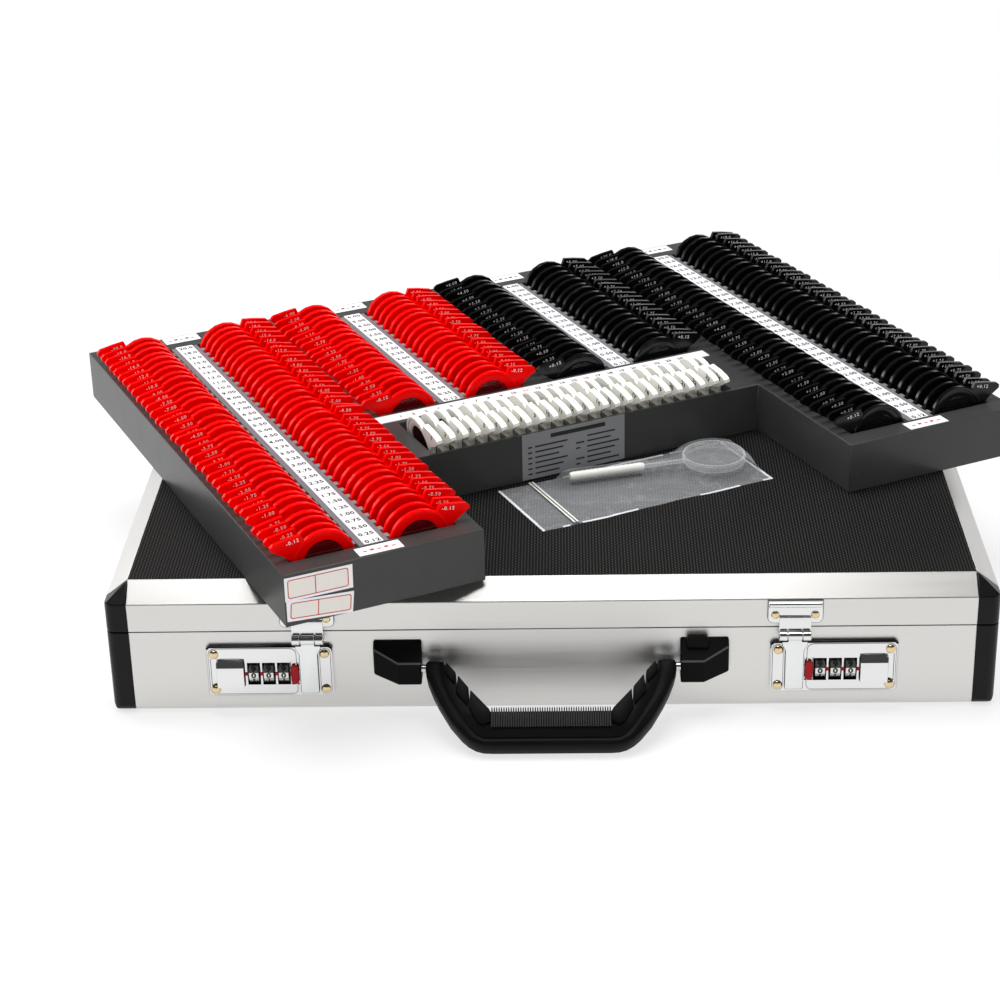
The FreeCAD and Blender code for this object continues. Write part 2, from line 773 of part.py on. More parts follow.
# Hasps: a keeper plate and leaf on the lid, a hasp that hangs over the lock plate
HASP_Y = "-(case_depth / 2 + hasp_stand_off)"
LEAF_LOW = "hasp_middle - leaf_width / 2"
LEAF_HIGH = "hasp_middle + leaf_width / 2"
keeper_plates = new_body("keeper_plates")
for sign in (-1, 1):
    left, right = sides("keeper_inner", "keeper_outer", sign)
    sketch = new_sketch(keeper_plates, "YZ", left)
    outline(sketch, [
        ("-case_depth / 2", "keeper_low"),
        ("-case_depth / 2", "bevel_height"),
        ("-case_depth / 2 - keeper_thickness - keeper_ridge", "bevel_height"),
        ("-case_depth / 2 - keeper_thickness - keeper_ridge", "bevel_height - keeper_ridge"),
        ("-case_depth / 2 - keeper_thickness", "bevel_height - 2 * keeper_ridge"),
        ("-case_depth / 2 - keeper_thickness", "keeper_low"),
    ])
    pad(keeper_plates, sketch, "keeper_outer - keeper_inner")
    left, right = sides(LEAF_LOW, LEAF_HIGH, sign)
    sketch = new_sketch(keeper_plates, "YZ", left)
    rectangle(sketch, "-case_depth / 2 - keeper_thickness - leaf_thickness", "leaf_low",
              "-case_depth / 2 - keeper_thickness", "leaf_top")
    pad(keeper_plates, sketch, "leaf_width")
    sketch = new_sketch(keeper_plates, "YZ", left)
    knuckle(sketch, HASP_Y, "hasp_pivot_height")
    pad(keeper_plates, sketch, "leaf_width")
sketch = new_sketch(keeper_plates, "XZ", "case_depth / 2")
for sign in (-1, 1):
    half = "(hasp_knuckle_width / 2 + hasp_clearance)"
    left, right = sides(f"hasp_middle - {half}", f"hasp_middle + {half}", sign)
    rectangle(sketch, left, f"hasp_pivot_height - ({SWEEP})", right, f"hasp_pivot_height + {SWEEP}")
pocket(keeper_plates, sketch, "hasp_stand_off + 2 * knuckle_radius", back=True)

pins = []
for sign in (-1, 1):
    left, right = sides(LEAF_LOW, LEAF_HIGH, sign)
    pins.append(bar("hasp_pin", left, right, HASP_Y, "hasp_pivot_height", "pin_radius"))
group("hasp_pins", pins)


def hasp(label, sign):
    body = new_body(label)
    left, right = sides("hasp_middle - hasp_knuckle_width / 2", "hasp_middle + hasp_knuckle_width / 2", sign)
    sketch = new_sketch(body, "YZ", left)
    knuckle(sketch, HASP_Y, "hasp_pivot_height")
    pad(body, sketch, "hasp_knuckle_width")
    middle = f"{sign} * hasp_middle"
    root = "hasp_knuckle_width / 2"
    shoulder = "hasp_shoulder_width / 2"
    neck = "hasp_neck_width / 2"
    top = f"hasp_pivot_height - ({SWEEP})"
    rise = "2 * hasp_pivot_height - leaf_low"
    sketch = new_sketch(body, "XZ", "case_depth / 2 + lock_thickness + hasp_clearance")
    half_outline = [
        (root, rise), (root, top), (shoulder, top), (shoulder, "hasp_shoulder_height"),
        (neck, "hasp_shoulder_height - hasp_corner"), (neck, "hasp_low + hasp_corner"),
        (f"({neck} - hasp_corner)", "hasp_low"),
    ]
    points = [(f"{middle} - {x}", z) for x, z in half_outline]
    points += [(f"{middle} + {x}", z) for x, z in reversed(half_outline)]
    outline(sketch, points)
    pad(body, sketch, "hasp_thickness")


hasp("hasp_left", -1)
hasp("hasp_right", 1)

# Handle brackets, their pins and the handle
PIVOT_Y = "-(case_depth / 2 + pivot_depth)"
brackets = new_body("handle_brackets")
for sign in (-1, 1):
    left, right = sides("bracket_inner", "bracket_outer", sign)
    sketch = new_sketch(brackets, "YZ", left)
    outline(sketch, [
        ("-case_depth / 2", "bracket_low"),
        ("-case_depth / 2", "bracket_high"),
        ("-case_depth / 2 - bracket_depth", "bracket_front_height"),
        ("-case_depth / 2 - bracket_depth", "bracket_low"),
    ])
    pad(brackets, sketch, "bracket_outer - bracket_inner")
sketch = new_sketch(brackets, "XZ", "case_depth / 2")
for sign in (-1, 1):
    outline(sketch, [
        (f"{sign} * (bracket_outer - 1.5 * bracket_nose)", "bracket_low"),
        (f"{sign} * bracket_outer", "bracket_low"),
        (f"{sign} * bracket_outer", "bracket_low + bracket_nose / 2"),
    ])
pocket(brackets, sketch, "bracket_depth", back=True)

PIN_END = "handle_half - handle_arm"
pins = []
for sign in (-1, 1):
    left, right = sides(PIN_END, "bracket_inner", sign)
    pins.append(bar("handle_pin", left, right, PIVOT_Y, "pivot_height", "pivot_radius"))
group("handle_pins", pins)

# The handle is drawn flat, from the pivot line towards the grip, its outer rim bevelled on both
# faces, and its inside is cut straight through
handle = new_body("handle")
GRIP_INNER = "handle_reach - grip_depth"
HANDLE_CORE = "handle_thickness / 2 - handle_bevel"


# Points of a bowed side from one corner to the next, bulging to the right of the way it runs
def bowed(start, finish):
    run = [f"({b} - ({a}))" for a, b in zip(start, finish)]
    length = f"sqrt({run[0]} ^ 2 + {run[1]} ^ 2)"
    points = []
    for along in (0, 0.35, 0.7, 1):
        rise = f"{4 * along * (1 - along)} * handle_bulge"
        points.append((f"{start[0]} + {along} * {run[0]} + {rise} * {run[1]} / {length}",
                       f"{start[1]} + {along} * {run[1]} - {rise} * {run[0]} / {length}"))
    return points


HANDLE_RIM = [("-handle_half", "-handle_half / 2"), ("handle_half", "-handle_half / 2")]
HANDLE_RIM += bowed(("handle_half", "handle_shoulder"), ("handle_flat", "handle_reach"))
HANDLE_RIM += bowed(("-1 * handle_flat", "handle_reach"), ("-1 * handle_half", "handle_shoulder"))
sketch = new_sketch(handle, "XY")
outline(sketch, HANDLE_RIM)
pad(handle, sketch, f"2 * ({HANDLE_CORE})", symmetric=True)
for side in (-1, 1):
    sketch = new_sketch(handle, "XY", f"{side} * ({HANDLE_CORE})")
    outline(sketch, HANDLE_RIM)
    rim = pad(handle, sketch, "handle_bevel", back=side < 0)
    bind(rim, "TaperAngle", "-handle_rim_angle")
sketch = new_sketch(handle, "XY")
outline(sketch, [
    ("-handle_half - 1", "-handle_half"),
    ("handle_half + 1", "-handle_half"),
    ("handle_half + 1", "-handle_eye"),
    ("handle_half - handle_arm", "-handle_eye"),
    ("arm_upper_half", "arm_upper_reach"),
    ("arm_lower_half", "arm_lower_reach"),
    ("grip_half", GRIP_INNER),
    ("-grip_half", GRIP_INNER),
    ("-arm_lower_half", "arm_lower_reach"),
    ("-arm_upper_half", "arm_upper_reach"),
    ("handle_arm - handle_half", "-handle_eye"),
    ("-handle_half - 1", "-handle_eye"),
])
pocket(handle, sketch, "2 * handle_thickness", symmetric=True)
sketch = new_sketch(handle, "YZ")
ring(sketch, "0", "0", "pivot_radius + pin_clearance")
# the heels are cut back so that they clear the wall as the handle swings
for side in (-1, 1):
    outline(sketch, [
        ("-handle_eye", f"{side} * (handle_thickness / 2 - handle_heel)"),
        ("-handle_eye", f"{side} * handle_thickness / 2"),
        ("-handle_eye + handle_heel", f"{side} * handle_thickness / 2"),
    ])
pocket(handle, sketch, "2 * handle_half + 2", symmetric=True)
place(handle, "0", PIVOT_Y, "pivot_height", Vector(1, 0, 0), "-90 - handle_lean")


# Tray pieces are drawn in the tray's own frame, then laid on the lid
def tray_body(label):
    body = new_body(label)
    place(body, "tray_x", "tray_y", "case_height", Vector(0, 0, 1), "tray_turn")
    return body


def strip(k):
    return f"(strip_first + {k} * strip_pitch)"


SHORT_FIRST = "(first_lens + (long_count - short_count) * lens_pitch)"
WELL_FRONT = ["(first_lens - well_margin)", f"({SHORT_FIRST} - well_margin)"]
RIB_TOP = "tray_height - rib_drop"
ROW_LEFT = "row_first - row_margin"
ROW_RIGHT = "row_last + row_margin"

tray = tray_body("tray_body")
sketch = new_sketch(tray, "XY")
outline(sketch, [
    ("0", "0"), ("wing_width", "0"), ("wing_width", "notch_depth"),
    ("tray_width - wing_width", "notch_depth"), ("tray_width - wing_width", "0"), ("tray_width", "0"),
    ("tray_width", "tray_depth"), ("0", "tray_depth"),
])
pad(tray, sketch, "tray_height")
sketch = new_sketch(tray, "XY", "tray_height")
for k in range(4):
    front = WELL_FRONT[k in (1, 2)]
    rectangle(sketch, f"{strip(k)} - well_left", front, f"{strip(k)} + well_right", "well_back")
rectangle(sketch, ROW_LEFT, "row_front", ROW_RIGHT, "row_back")
pocket(tray, sketch, "tray_height - well_floor")
sketch = new_sketch(tray, "XY", "tray_height")
rectangle(sketch, ROW_LEFT, "comb_front", ROW_RIGHT, "row_front")
pocket(tray, sketch, "comb_depth")


# Thin ribs stand halfway between the lenses and part them
def column_ribs(body, k, first, count):
    sketch = new_sketch(body, "XZ", f"-({first} + lens_pitch / 2 - rib_thickness / 2)")
    rectangle(sketch, f"{strip(k)} - well_left", "well_floor", f"{strip(k)} + well_right", RIB_TOP)
    rib = pad(body, sketch, "rib_thickness", back=True)
    row_of(body, [rib], "Y", "lens_pitch", f"({count} - 1)")


for label, k in (("ribs_left_wing", 0), ("ribs_right_wing", 3)):
    column_ribs(tray_body(label), k, "first_lens", "long_count")
for label, k in (("ribs_middle_left", 1), ("ribs_middle_right", 2)):
    column_ribs(tray_body(label), k, SHORT_FIRST, "short_count")

comb = tray_body("ribs_comb")
sketch = new_sketch(comb, "YZ", "row_first + row_pitch / 2 - rib_thickness / 2")
outline(sketch, [
    ("row_front", "well_floor"), ("row_back", "well_floor"), ("row_back", RIB_TOP),
    ("comb_front", RIB_TOP), ("comb_front", "tray_height - comb_depth"),
    ("row_front", "tray_height - comb_depth"),
])
rib = pad(comb, sketch, "rib_thickness")
row_of(comb, [rib], "X", "row_pitch", "(row_count - 1)")

# Label rails lie on the ribs, number strips on the rails
RAIL_TOP = "tray_height - rail_drop"
label_rails = tray_body("label_rails")
sketch = new_sketch(label_rails, "XY", RIB_TOP)
for k in range(4):
    front = WELL_FRONT[k in (1, 2)]
    rectangle(sketch, f"{strip(k)} - rail_left", front, f"{strip(k)} + rail_right", "well_back")
pad(label_rails, sketch, f"{RAIL_TOP} - ({RIB_TOP})")

number_strips = tray_body("number_strips")
sketch = new_sketch(number_strips, "XY", RAIL_TOP)
for k in range(4):
    front = WELL_FRONT[k in (1, 2)]
    rectangle(sketch, f"{strip(k)} - strip_left", front, f"{strip(k)} + strip_right", "well_back")
pad(number_strips, sketch, "strip_thickness")
sketch = new_sketch(number_strips, "XY", "tray_height")
rectangle(sketch, "wing_width + row_label_inset_left", "row_back + row_label_gap",
          "tray_width - wing_width - row_label_inset_right", "row_back + row_label_gap + row_label_width")
pad(number_strips, sketch, "strip_thickness")


# One lens outline about its centre, with its tab on the side given: the whole round rim
# for the lens in view, a plain seven sided one for those that stand behind it
RIM_SIDES = 14


def round_lens(x, side):
    span = "(360 + root_angle - foot_angle)"
    points = []
    for k in range(RIM_SIDES + 1):
        angle = f"((root_angle - {span} * {k / RIM_SIDES}) * 1deg)"
        points.append((f"lens_radius * cos({angle})", f"lens_radius * sin({angle})"))
    points += [
        ("tab_top_reach", "tab_top_height"),
        ("tab_reach - tab_corner", "tab_tip_height + tab_corner / 2"),
        ("tab_reach", "tab_tip_height - tab_corner / 2"),
    ]
    return placed(points, x, side)


def plain_lens(x, side):
    points = [
        ("lens_radius * cos(root_angle * 1deg)", "lens_radius * sin(root_angle * 1deg)"),
        ("0", "-lens_radius"),
        ("-lens_radius * 0.8", "-lens_radius * 0.6"),
        ("-lens_radius * 0.97", "lens_radius * 0.2"),
        ("-lens_radius * 0.47", "lens_radius * 0.88"),
        ("tab_top_reach", "tab_top_height"),
        ("tab_reach", "tab_tip_height"),
    ]
    return placed(points, x, side)


def placed(points, x, side):
    moved = []
    for reach, rise in points:
        moved.append((f"{x} + {side} * ({reach})", f"lens_height + ({rise})"))
    return moved


def lens_row(label, plane, x, side, first, pitch, count):
    toward = -1 if plane == "XZ" else 1
    axis = "Y" if plane == "XZ" else "X"
    body = tray_body(label)
    sketch = new_sketch(body, plane, f"{toward} * ({first} - lens_thickness / 2)")
    outline(sketch, round_lens(x, side))
    pad(body, sketch, "lens_thickness", back=toward < 0)
    sketch = new_sketch(body, plane, f"{toward} * ({first} - lens_thickness / 2)")
    polygon(sketch, x, "lens_height", "glass_radius", RIM_SIDES)
    pocket(body, sketch, "glass_sink", back=toward > 0)
    sketch = new_sketch(body, plane, f"{toward} * ({first} + {pitch} - lens_thickness / 2)")
    outline(sketch, plain_lens(x, side))
    lens = pad(body, sketch, "lens_thickness", back=toward < 0)
    row_of(body, [lens], axis, pitch, f"({count} - 1)")


for column in range(8):
    k = column // 2
    side = 1 if column % 2 else -1
    offset = "right_column" if side > 0 else "left_column"
    first, count = ("first_lens", "long_count") if k in (0, 3) else (SHORT_FIRST, "short_count")
    x = f"{strip(k)} + {side} * {offset}"
    lens_row(f"lens_row_{column + 1}", "XZ", x, side, first, "lens_pitch", count)
lens_row("lens_row_cross", "YZ", "row_middle", -1, "row_first", "row_pitch", "row_count")

# Zip bag on the lid, in the tray's notch
zip_bag = tray_body("zip_bag")
sketch = new_sketch(zip_bag, "XY", "bag_gap")
rectangle(sketch, "bag_left", "bag_front", "bag_right", "bag_back")
pad(zip_bag, sketch, "bag_thickness")
sketch = new_sketch(zip_bag, "XY", "bag_gap + bag_thickness")
rectangle(sketch, "bag_zip", "bag_front", "bag_zip + bag_zip_width", "bag_back")
pad(zip_bag, sketch, "bag_gap")

# Hand lens in the bag: rim, shaft and rod, drawn from the lens centre along the rod
HAND_X = "tray_x + hand_lens_x * cos(tray_turn * 1deg) - hand_lens_y * sin(tray_turn * 1deg)"
HAND_Y = "tray_y + hand_lens_x * sin(tray_turn * 1deg) + hand_lens_y * cos(tray_turn * 1deg)"
HAND_Z = "case_height + 3 * bag_gap + bag_thickness + hand_rod_radius"


def hand_piece(label):
    body = new_body(label)
    place(body, HAND_X, HAND_Y, HAND_Z, Vector(0, 0, 1), "tray_turn + hand_lens_turn")
    return body


hand = hand_piece("hand_lens_handle")
sketch = new_sketch(hand, "XY")
polygon(sketch, "0", "0", "hand_rim_radius", 18)
polygon(sketch, "0", "0", "hand_rim_radius - hand_rim_width", 18)
pad(hand, sketch, "hand_rim_thickness", symmetric=True)
sketch = new_sketch(hand, "YZ", "hand_rim_radius - hand_rim_width / 2")
polygon(sketch, "0", "0", "hand_shaft_radius", 8)
pad(hand, sketch, "hand_shaft_end - hand_rim_radius + hand_rim_width / 2")
sketch = new_sketch(hand, "YZ", "hand_shaft_end")
polygon(sketch, "0", "0", "hand_rod_radius", 10)
pad(hand, sketch, "hand_rod_end - hand_shaft_end")

glass = hand_piece("hand_lens_glass")
sketch = new_sketch(glass, "XY")
polygon(sketch, "0", "0", "hand_rim_radius - hand_rim_width - pin_clearance", 18)
pad(glass, sketch, "hand_glass_thickness", symmetric=True)

doc.recompute()
for item in doc.Objects:
    if "Invalid" in item.State or "Error" in item.State:
        raise RuntimeError(f"{item.Label} failed")
os.makedirs("parts", exist_ok=True)
for label, item in NODES.items():
    if item.Shape.isNull() or not item.Shape.isValid():
        raise RuntimeError(f"{label} has no sound shape")
    item.Shape.exportStep(f"parts/{label}.step")
print(len(NODES), "nodes")
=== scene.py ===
import json
import math
import random

import bmesh
import bpy
from mathutils import Matrix, Vector, noise

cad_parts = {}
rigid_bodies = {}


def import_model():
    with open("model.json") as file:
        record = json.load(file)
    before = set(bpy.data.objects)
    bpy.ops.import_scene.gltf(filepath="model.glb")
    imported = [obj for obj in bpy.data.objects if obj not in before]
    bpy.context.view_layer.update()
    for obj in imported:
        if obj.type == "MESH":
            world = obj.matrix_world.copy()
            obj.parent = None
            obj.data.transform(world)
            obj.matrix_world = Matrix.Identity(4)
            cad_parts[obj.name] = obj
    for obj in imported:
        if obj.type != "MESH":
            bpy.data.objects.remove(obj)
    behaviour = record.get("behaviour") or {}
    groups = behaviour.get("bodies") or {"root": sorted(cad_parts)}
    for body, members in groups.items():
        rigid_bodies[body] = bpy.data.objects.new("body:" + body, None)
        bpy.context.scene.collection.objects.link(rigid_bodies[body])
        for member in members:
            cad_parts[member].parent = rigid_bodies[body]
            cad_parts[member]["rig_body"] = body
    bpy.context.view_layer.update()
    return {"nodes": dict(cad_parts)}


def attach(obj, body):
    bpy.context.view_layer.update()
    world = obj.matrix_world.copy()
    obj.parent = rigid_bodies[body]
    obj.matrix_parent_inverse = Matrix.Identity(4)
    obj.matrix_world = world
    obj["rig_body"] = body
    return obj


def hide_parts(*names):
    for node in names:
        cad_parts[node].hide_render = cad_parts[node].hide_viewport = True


# Trial lens case: the looks. Lengths in the dictionaries are millimetres; the scene is in metres.
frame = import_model()
random.seed(11)
mm = 0.001


def move(x, y, z):
    return Matrix.Translation((x, y, z))


def turn(degrees, axis):
    return Matrix.Rotation(math.radians(degrees), 4, axis)


def flip(sign):  # mirrors left to right where the sign is -1
    return Matrix.Diagonal((sign, 1, 1, 1))


def onWall(y):  # stands a drawing on XY up on the wall at y
    return move(0, y, 0) @ standUp


def addObject(name, data):
    item = bpy.data.objects.new(name, data)
    bpy.context.scene.collection.objects.link(item)
    return item


standUp = turn(90, "X")
toMetres = Matrix.Scale(mm, 4)
trayPlace = {"corner": (-148.6, -246.7, 83), "turn": 26.674}
toTray = Matrix.Translation(Vector(trayPlace["corner"]) * mm) @ turn(trayPlace["turn"], "Z") @ toMetres
print("frame loaded")


# Camera: found from the case's and the tray's edges in the photograph
camera = {
    "target": (-33.4, -25.3, 55.3), "azimuth": 1.88, "elevation": 25.66, "roll": -1.43,
    "distance": 1555.8, "lens": 85.89, "sensor": 36,
}


def addCamera(spec):
    azimuth, elevation = math.radians(spec["azimuth"]), math.radians(spec["elevation"])
    flat = math.cos(elevation)
    back = Vector((math.sin(azimuth) * flat, -math.cos(azimuth) * flat, math.sin(elevation)))
    lens = bpy.data.cameras.new("photoCamera")
    lens.lens = spec["lens"]
    lens.sensor_width = spec["sensor"]
    lens.clip_end = 50
    holder = addObject("photoCamera", lens)
    place = (Vector(spec["target"]) + back * spec["distance"]) * mm
    facing = back.to_track_quat("Z", "Y").to_matrix().to_4x4()
    holder.matrix_world = Matrix.Translation(place) @ facing @ turn(spec["roll"], "Z")
    bpy.context.scene.camera = holder


addCamera(camera)


# Materials
class Value:  # a node's output that takes + - * /
    def __init__(self, tree, link):
        self.tree = tree
        self.link = link

    def maths(self, operation, *others):
        node = self.tree.nodes.new("ShaderNodeMath")
        node.operation = operation
        for socket, item in zip(node.inputs, (self, *others)):
            join(self.tree, item, socket)
        return Value(self.tree, node.outputs[0])

    def __add__(self, other):
        return self.maths("ADD", other)

    def __sub__(self, other):
        return self.maths("SUBTRACT", other)

    def __rsub__(self, other):
        return (self * -1) + other

    def __mul__(self, other):
        return self.maths("MULTIPLY", other)

    def __truediv__(self, other):
        return self.maths("DIVIDE", other)

    def atLeast(self, other):
        return self.maths("MAXIMUM", other)

    def atMost(self, other):
        return self.maths("MINIMUM", other)

    __radd__ = __add__
    __rmul__ = __mul__


def join(tree, item, socket):
    if isinstance(item, Value):
        tree.links.new(item.link, socket)
    else:
        socket.default_value = item


class Nodes:  # a material's or the world's node tree
    def __init__(self, holder):
        holder.use_nodes = True
        self.tree = holder.node_tree

    def node(self, kind, settings=(), values=(), out=0):
        node = self.tree.nodes.new(kind)
        for key, value in dict(settings).items():
            setattr(node, key, value)
        for key, item in dict(values).items():
            join(self.tree, item, node.inputs[key])
        if isinstance(out, tuple):
            return [Value(self.tree, node.outputs[key]) for key in out]
        return Value(self.tree, node.outputs[out])

    def rays(self):
        return self.node("ShaderNodeLightPath", out=("Is Camera Ray", "Is Glossy Ray", "Is Transmission Ray"))


class Finish(Nodes):  # one material, with the surface's own place as self.place
    def __init__(self, name, colour, roughness, metallic=0.0, gloss=0.5):
        self.material = bpy.data.materials.new(name)
        super().__init__(self.material)
        self.shader = self.tree.nodes["Principled BSDF"]
        self.set("Base Color", (*colour, 1))
        self.set("Roughness", roughness)
        self.set("Metallic", metallic)
        self.set("Specular IOR Level", gloss)
        self.place = self.node("ShaderNodeTexCoord", out="Object")

    def set(self, socket, item):
        join(self.tree, item, self.shader.inputs[socket])

    def axes(self):
        return self.node("ShaderNodeSeparateXYZ", values={0: self.place}, out=(0, 1, 2))

    def noise(self, scale, detail=3.0, stretch=(1, 1, 1)):
        where = self.node("ShaderNodeMapping", values={"Vector": self.place, "Scale": stretch})
        return self.node("ShaderNodeTexNoise", values={"Vector": where, "Scale": scale, "Detail": detail})

    def facing(self, blend):  # 0 where the surface faces the eye, 1 at its edges
        return self.node("ShaderNodeLayerWeight", values={"Blend": blend}, out=1)

    def tint(self, factor, low, high):
        colours = {0: factor, 6: (*low, 1), 7: (*high, 1)}
        self.set("Base Color", self.node("ShaderNodeMix", {"data_type": "RGBA"}, colours, 2))

    def bump(self, height, depth):
        self.set("Normal", self.node("ShaderNodeBump", values={
            "Height": height, "Distance": depth * mm, "Strength": 1.0}))


def mouldedPlastic(name, colour, roughness, grain, gloss):
    finish = Finish(name, colour, roughness, gloss=gloss)
    cloud = finish.noise(60, detail=4)
    finish.tint(cloud, colour, tuple(min(1, c * 1.18 + 0.002) for c in colour))
    finish.set("Roughness", cloud * 0.12 + (roughness - 0.06))
    finish.bump(finish.noise(2600, detail=2), grain)
    return finish.material


def brushedMetal(name, colour, roughness, along, depth=0.012, scratches=1.0):
    finish = Finish(name, colour, roughness, 1.0)
    stretch = [14 if axis == along else 900 for axis in "XYZ"]
    grain = finish.noise(1.0, stretch=stretch)
    cloud = finish.noise(7)
    finish.tint(grain * 0.5 + cloud * 0.5, tuple(c * 0.9 for c in colour), colour)
    finish.set("Roughness", grain * 0.16 * scratches + cloud * 0.05 + (roughness - 0.1))
    finish.bump(grain, depth)
    return finish.material


def wovenPanel():  # raised dots in a honeycomb
    spec = {"pitch": 1.85, "dark": (0.002, 0.002, 0.002), "light": (0.13, 0.124, 0.121), "depth": 0.25}
    finish = Finish("panelWeave", spec["dark"], 0.5, gloss=0.12)
    wave = 2 * math.pi / (spec["pitch"] * mm)
    x, y, z = finish.axes()
    slant = y * (wave * 0.866)
    waves = (x * wave).maths("COSINE")
    waves = waves + (x * (wave / 2) + slant).maths("COSINE") + (x * (wave / 2) - slant).maths("COSINE")
    knob = (waves / 3.6 + 0.08).atLeast(0.0)
    finish.tint(knob * knob * (finish.noise(9) * 0.8 + 0.55), spec["dark"], spec["light"])
    finish.set("Roughness", 0.6 - knob * 0.2)
    finish.bump(knob, spec["depth"])
    return finish.material


def foam():
    finish = Finish("foamLining", (0.03, 0.03, 0.032), 0.95)
    cells = finish.node("ShaderNodeTexVoronoi", values={"Vector": finish.place, "Scale": 900.0})
    finish.tint(cells, (0.02, 0.02, 0.022), (0.05, 0.05, 0.054))
    finish.bump(cells, 0.3)
    return finish.material


def lensPlastic(name, dark, light, roughness, gloss):
    finish = Finish(name, light, roughness, gloss=gloss)
    cloud = finish.noise(45)
    finish.tint(cloud, dark, light)
    finish.set("Roughness", cloud * 0.14 + (roughness - 0.07))
    finish.bump(finish.noise(900, detail=2), 0.02)
    return finish.material


def clearGlass(name, colour, alpha, gloss=0.3, edge=0.6):
    finish = Finish(name, colour, 0.03, gloss=gloss)
    finish.set("IOR", 1.5)
    smear = finish.noise(60)
    # painted sheen: the glass turns more opaque in its own colour towards its edges, where it is seen at a
    # slant
    finish.set("Alpha", (finish.facing(0.35) * edge + smear * 0.08 + alpha).atMost(1.0))
    finish.set("Roughness", smear * 0.05 + 0.01)
    return finish.material


def bagFilm(name, haze, creaseLinesAndGlints):
    finish = Finish(name, (0.8, 0.82, 0.85), 0.18)
    crease = finish.noise(30, 6, (0.7, 1.6, 0.3))
    # the crease lines are whitened creases in the film, with painted glints along them
    sharp = (0.02 - (crease - 0.5).maths("ABSOLUTE")).atLeast(0.0) * 50
    cloud = finish.noise(22, 5, (0.5, 1.5, 0.4))
    # the facing term is a painted sheen: the film turns whiter where it is seen edge-on
    cover = sharp * creaseLinesAndGlints + cloud * haze + finish.facing(0.2) * 0.25 + haze * 0.2
    finish.set("Alpha", cover.atMost(0.95))
    finish.set("Roughness", cloud * 0.25 + 0.08)
    finish.bump(crease, 3.0)
    return finish.material


def printedPaper(name, colour, roughness=0.5):
    finish = Finish(name, colour, roughness)
    fibre = finish.noise(700)
    finish.tint(fibre, tuple(c * 0.93 for c in colour), colour)
    finish.set("Roughness", fibre * 0.15 + (roughness - 0.08))
    finish.bump(fibre, 0.01)
    return finish.material


aluX = brushedMetal("aluminiumAcross", (0.72, 0.71, 0.69), 0.36, "X")
aluY = brushedMetal("aluminiumAlong", (0.72, 0.71, 0.69), 0.36, "Y")
chrome = brushedMetal("lockPlateSteel", (0.8, 0.8, 0.8), 0.16, "X", 0.002, 0.3)
satin = brushedMetal("haspSteel", (0.84, 0.85, 0.85), 0.36, "Z", 0.003, 0.4)
# painted shade: a near-black steel laid where the steel stands in shade or mirrors something dark: the lock
# plates' tops, the thumb buttons' tops and sides, the hasp and keeper sides, and the shadow lines on the
# plates
paintedShadeSteel = brushedMetal("paintedShadeMetal", (0.07, 0.065, 0.07), 0.3, "X", 0.002, 0.3)
steel = brushedMetal("hingeSteel", (0.62, 0.62, 0.64), 0.25, "X", 0.004)
gold = brushedMetal("rivetGold", (0.78, 0.62, 0.36), 0.14, "Z", 0.001, 0.2)
cornerBlack = mouldedPlastic("cornerBlack", (0.004, 0.004, 0.004), 0.26, 0.01, 0.16)
handleBlack = mouldedPlastic("handleBlack", (0.003, 0.003, 0.003), 0.45, 0.01, 0.05)
ribBlack = mouldedPlastic("ribBlack", (0.008, 0.008, 0.008), 0.35, 0.01, 0.15)
# painted highlight: a lighter black for the brackets' lip
paintedHighlightBlack = mouldedPlastic("paintedHighlightBlack", (0.05, 0.05, 0.05), 0.25, 0.01, 0.6)
trayGrey = mouldedPlastic("trayGrey", (0.042, 0.043, 0.042), 0.3, 0.02, 0.25)
combGrey = mouldedPlastic("combGrey", (0.15, 0.146, 0.125), 0.42, 0.02, 0.3)
ribGrey = mouldedPlastic("ribGrey", (0.03, 0.03, 0.033), 0.45, 0.02, 0.2)
toothGrey = mouldedPlastic("toothGrey", (0.22, 0.205, 0.21), 0.4, 0.02, 0.3)
railGrey = mouldedPlastic("railGrey", (0.17, 0.165, 0.18), 0.35, 0.01, 0.3)
weave = wovenPanel()
foamLining = foam()
lensRed = lensPlastic("lensRed", (0.93, 0.0, 0.0), (0.99, 0.0, 0.0), 0.26, 0.06)
lensBlack = lensPlastic("lensBlack", (0.002, 0.002, 0.002), (0.005, 0.005, 0.005), 0.18, 0.3)
lensWhite = lensPlastic("lensWhite", (0.96, 0.95, 0.86), (0.98, 0.98, 0.95), 0.3, 0.4)
redGlass = clearGlass("redGlass", (0.14, 0.001, 0.002), 0.38, 0.3, 0.3)
darkGlass = clearGlass("darkGlass", (0.004, 0.004, 0.005), 0.5)
maroonGlass = clearGlass("maroonGlass", (0.03, 0.003, 0.008), 0.8)
handGlass = clearGlass("handGlass", (0.3, 0.32, 0.31), 0.03, 0.5, 0.12)
slideRed = mouldedPlastic("slideRed", (0.33, 0.002, 0.006), 0.32, 0.005, 0.2)
dialFace = brushedMetal("dialFace", (0.75, 0.75, 0.76), 0.25, "X", 0.002, 0.4)
dialBlack = mouldedPlastic("dialBlack", (0.008, 0.008, 0.008), 0.3, 0.005, 0.3)
handWhite = mouldedPlastic("handWhite", (0.74, 0.75, 0.7), 0.28, 0.005, 0.5)
handClear = clearGlass("handClear", (0.8, 0.82, 0.83), 0.12, 0.6, 0.5)
paperWhite = printedPaper("paperWhite", (0.88, 0.88, 0.9))
paperCream = printedPaper("paperCream", (0.82, 0.78, 0.72))
paperSilver = printedPaper("paperSilver", (0.27, 0.275, 0.29), 0.35)
inkBlack = printedPaper("inkBlack", (0.01, 0.01, 0.012))
inkWhite = printedPaper("inkWhite", (0.95, 0.93, 0.9))
inkRed = printedPaper("inkRed", (0.55, 0.05, 0.045))
film = bagFilm("bagFilm", 0.06, 0.05)
filmEdge = bagFilm("bagFilmEdge", 1.0, 0.3)
print("materials made")


# Mesh helpers
def bodyOf(node):
    return frame["nodes"][node]["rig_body"]


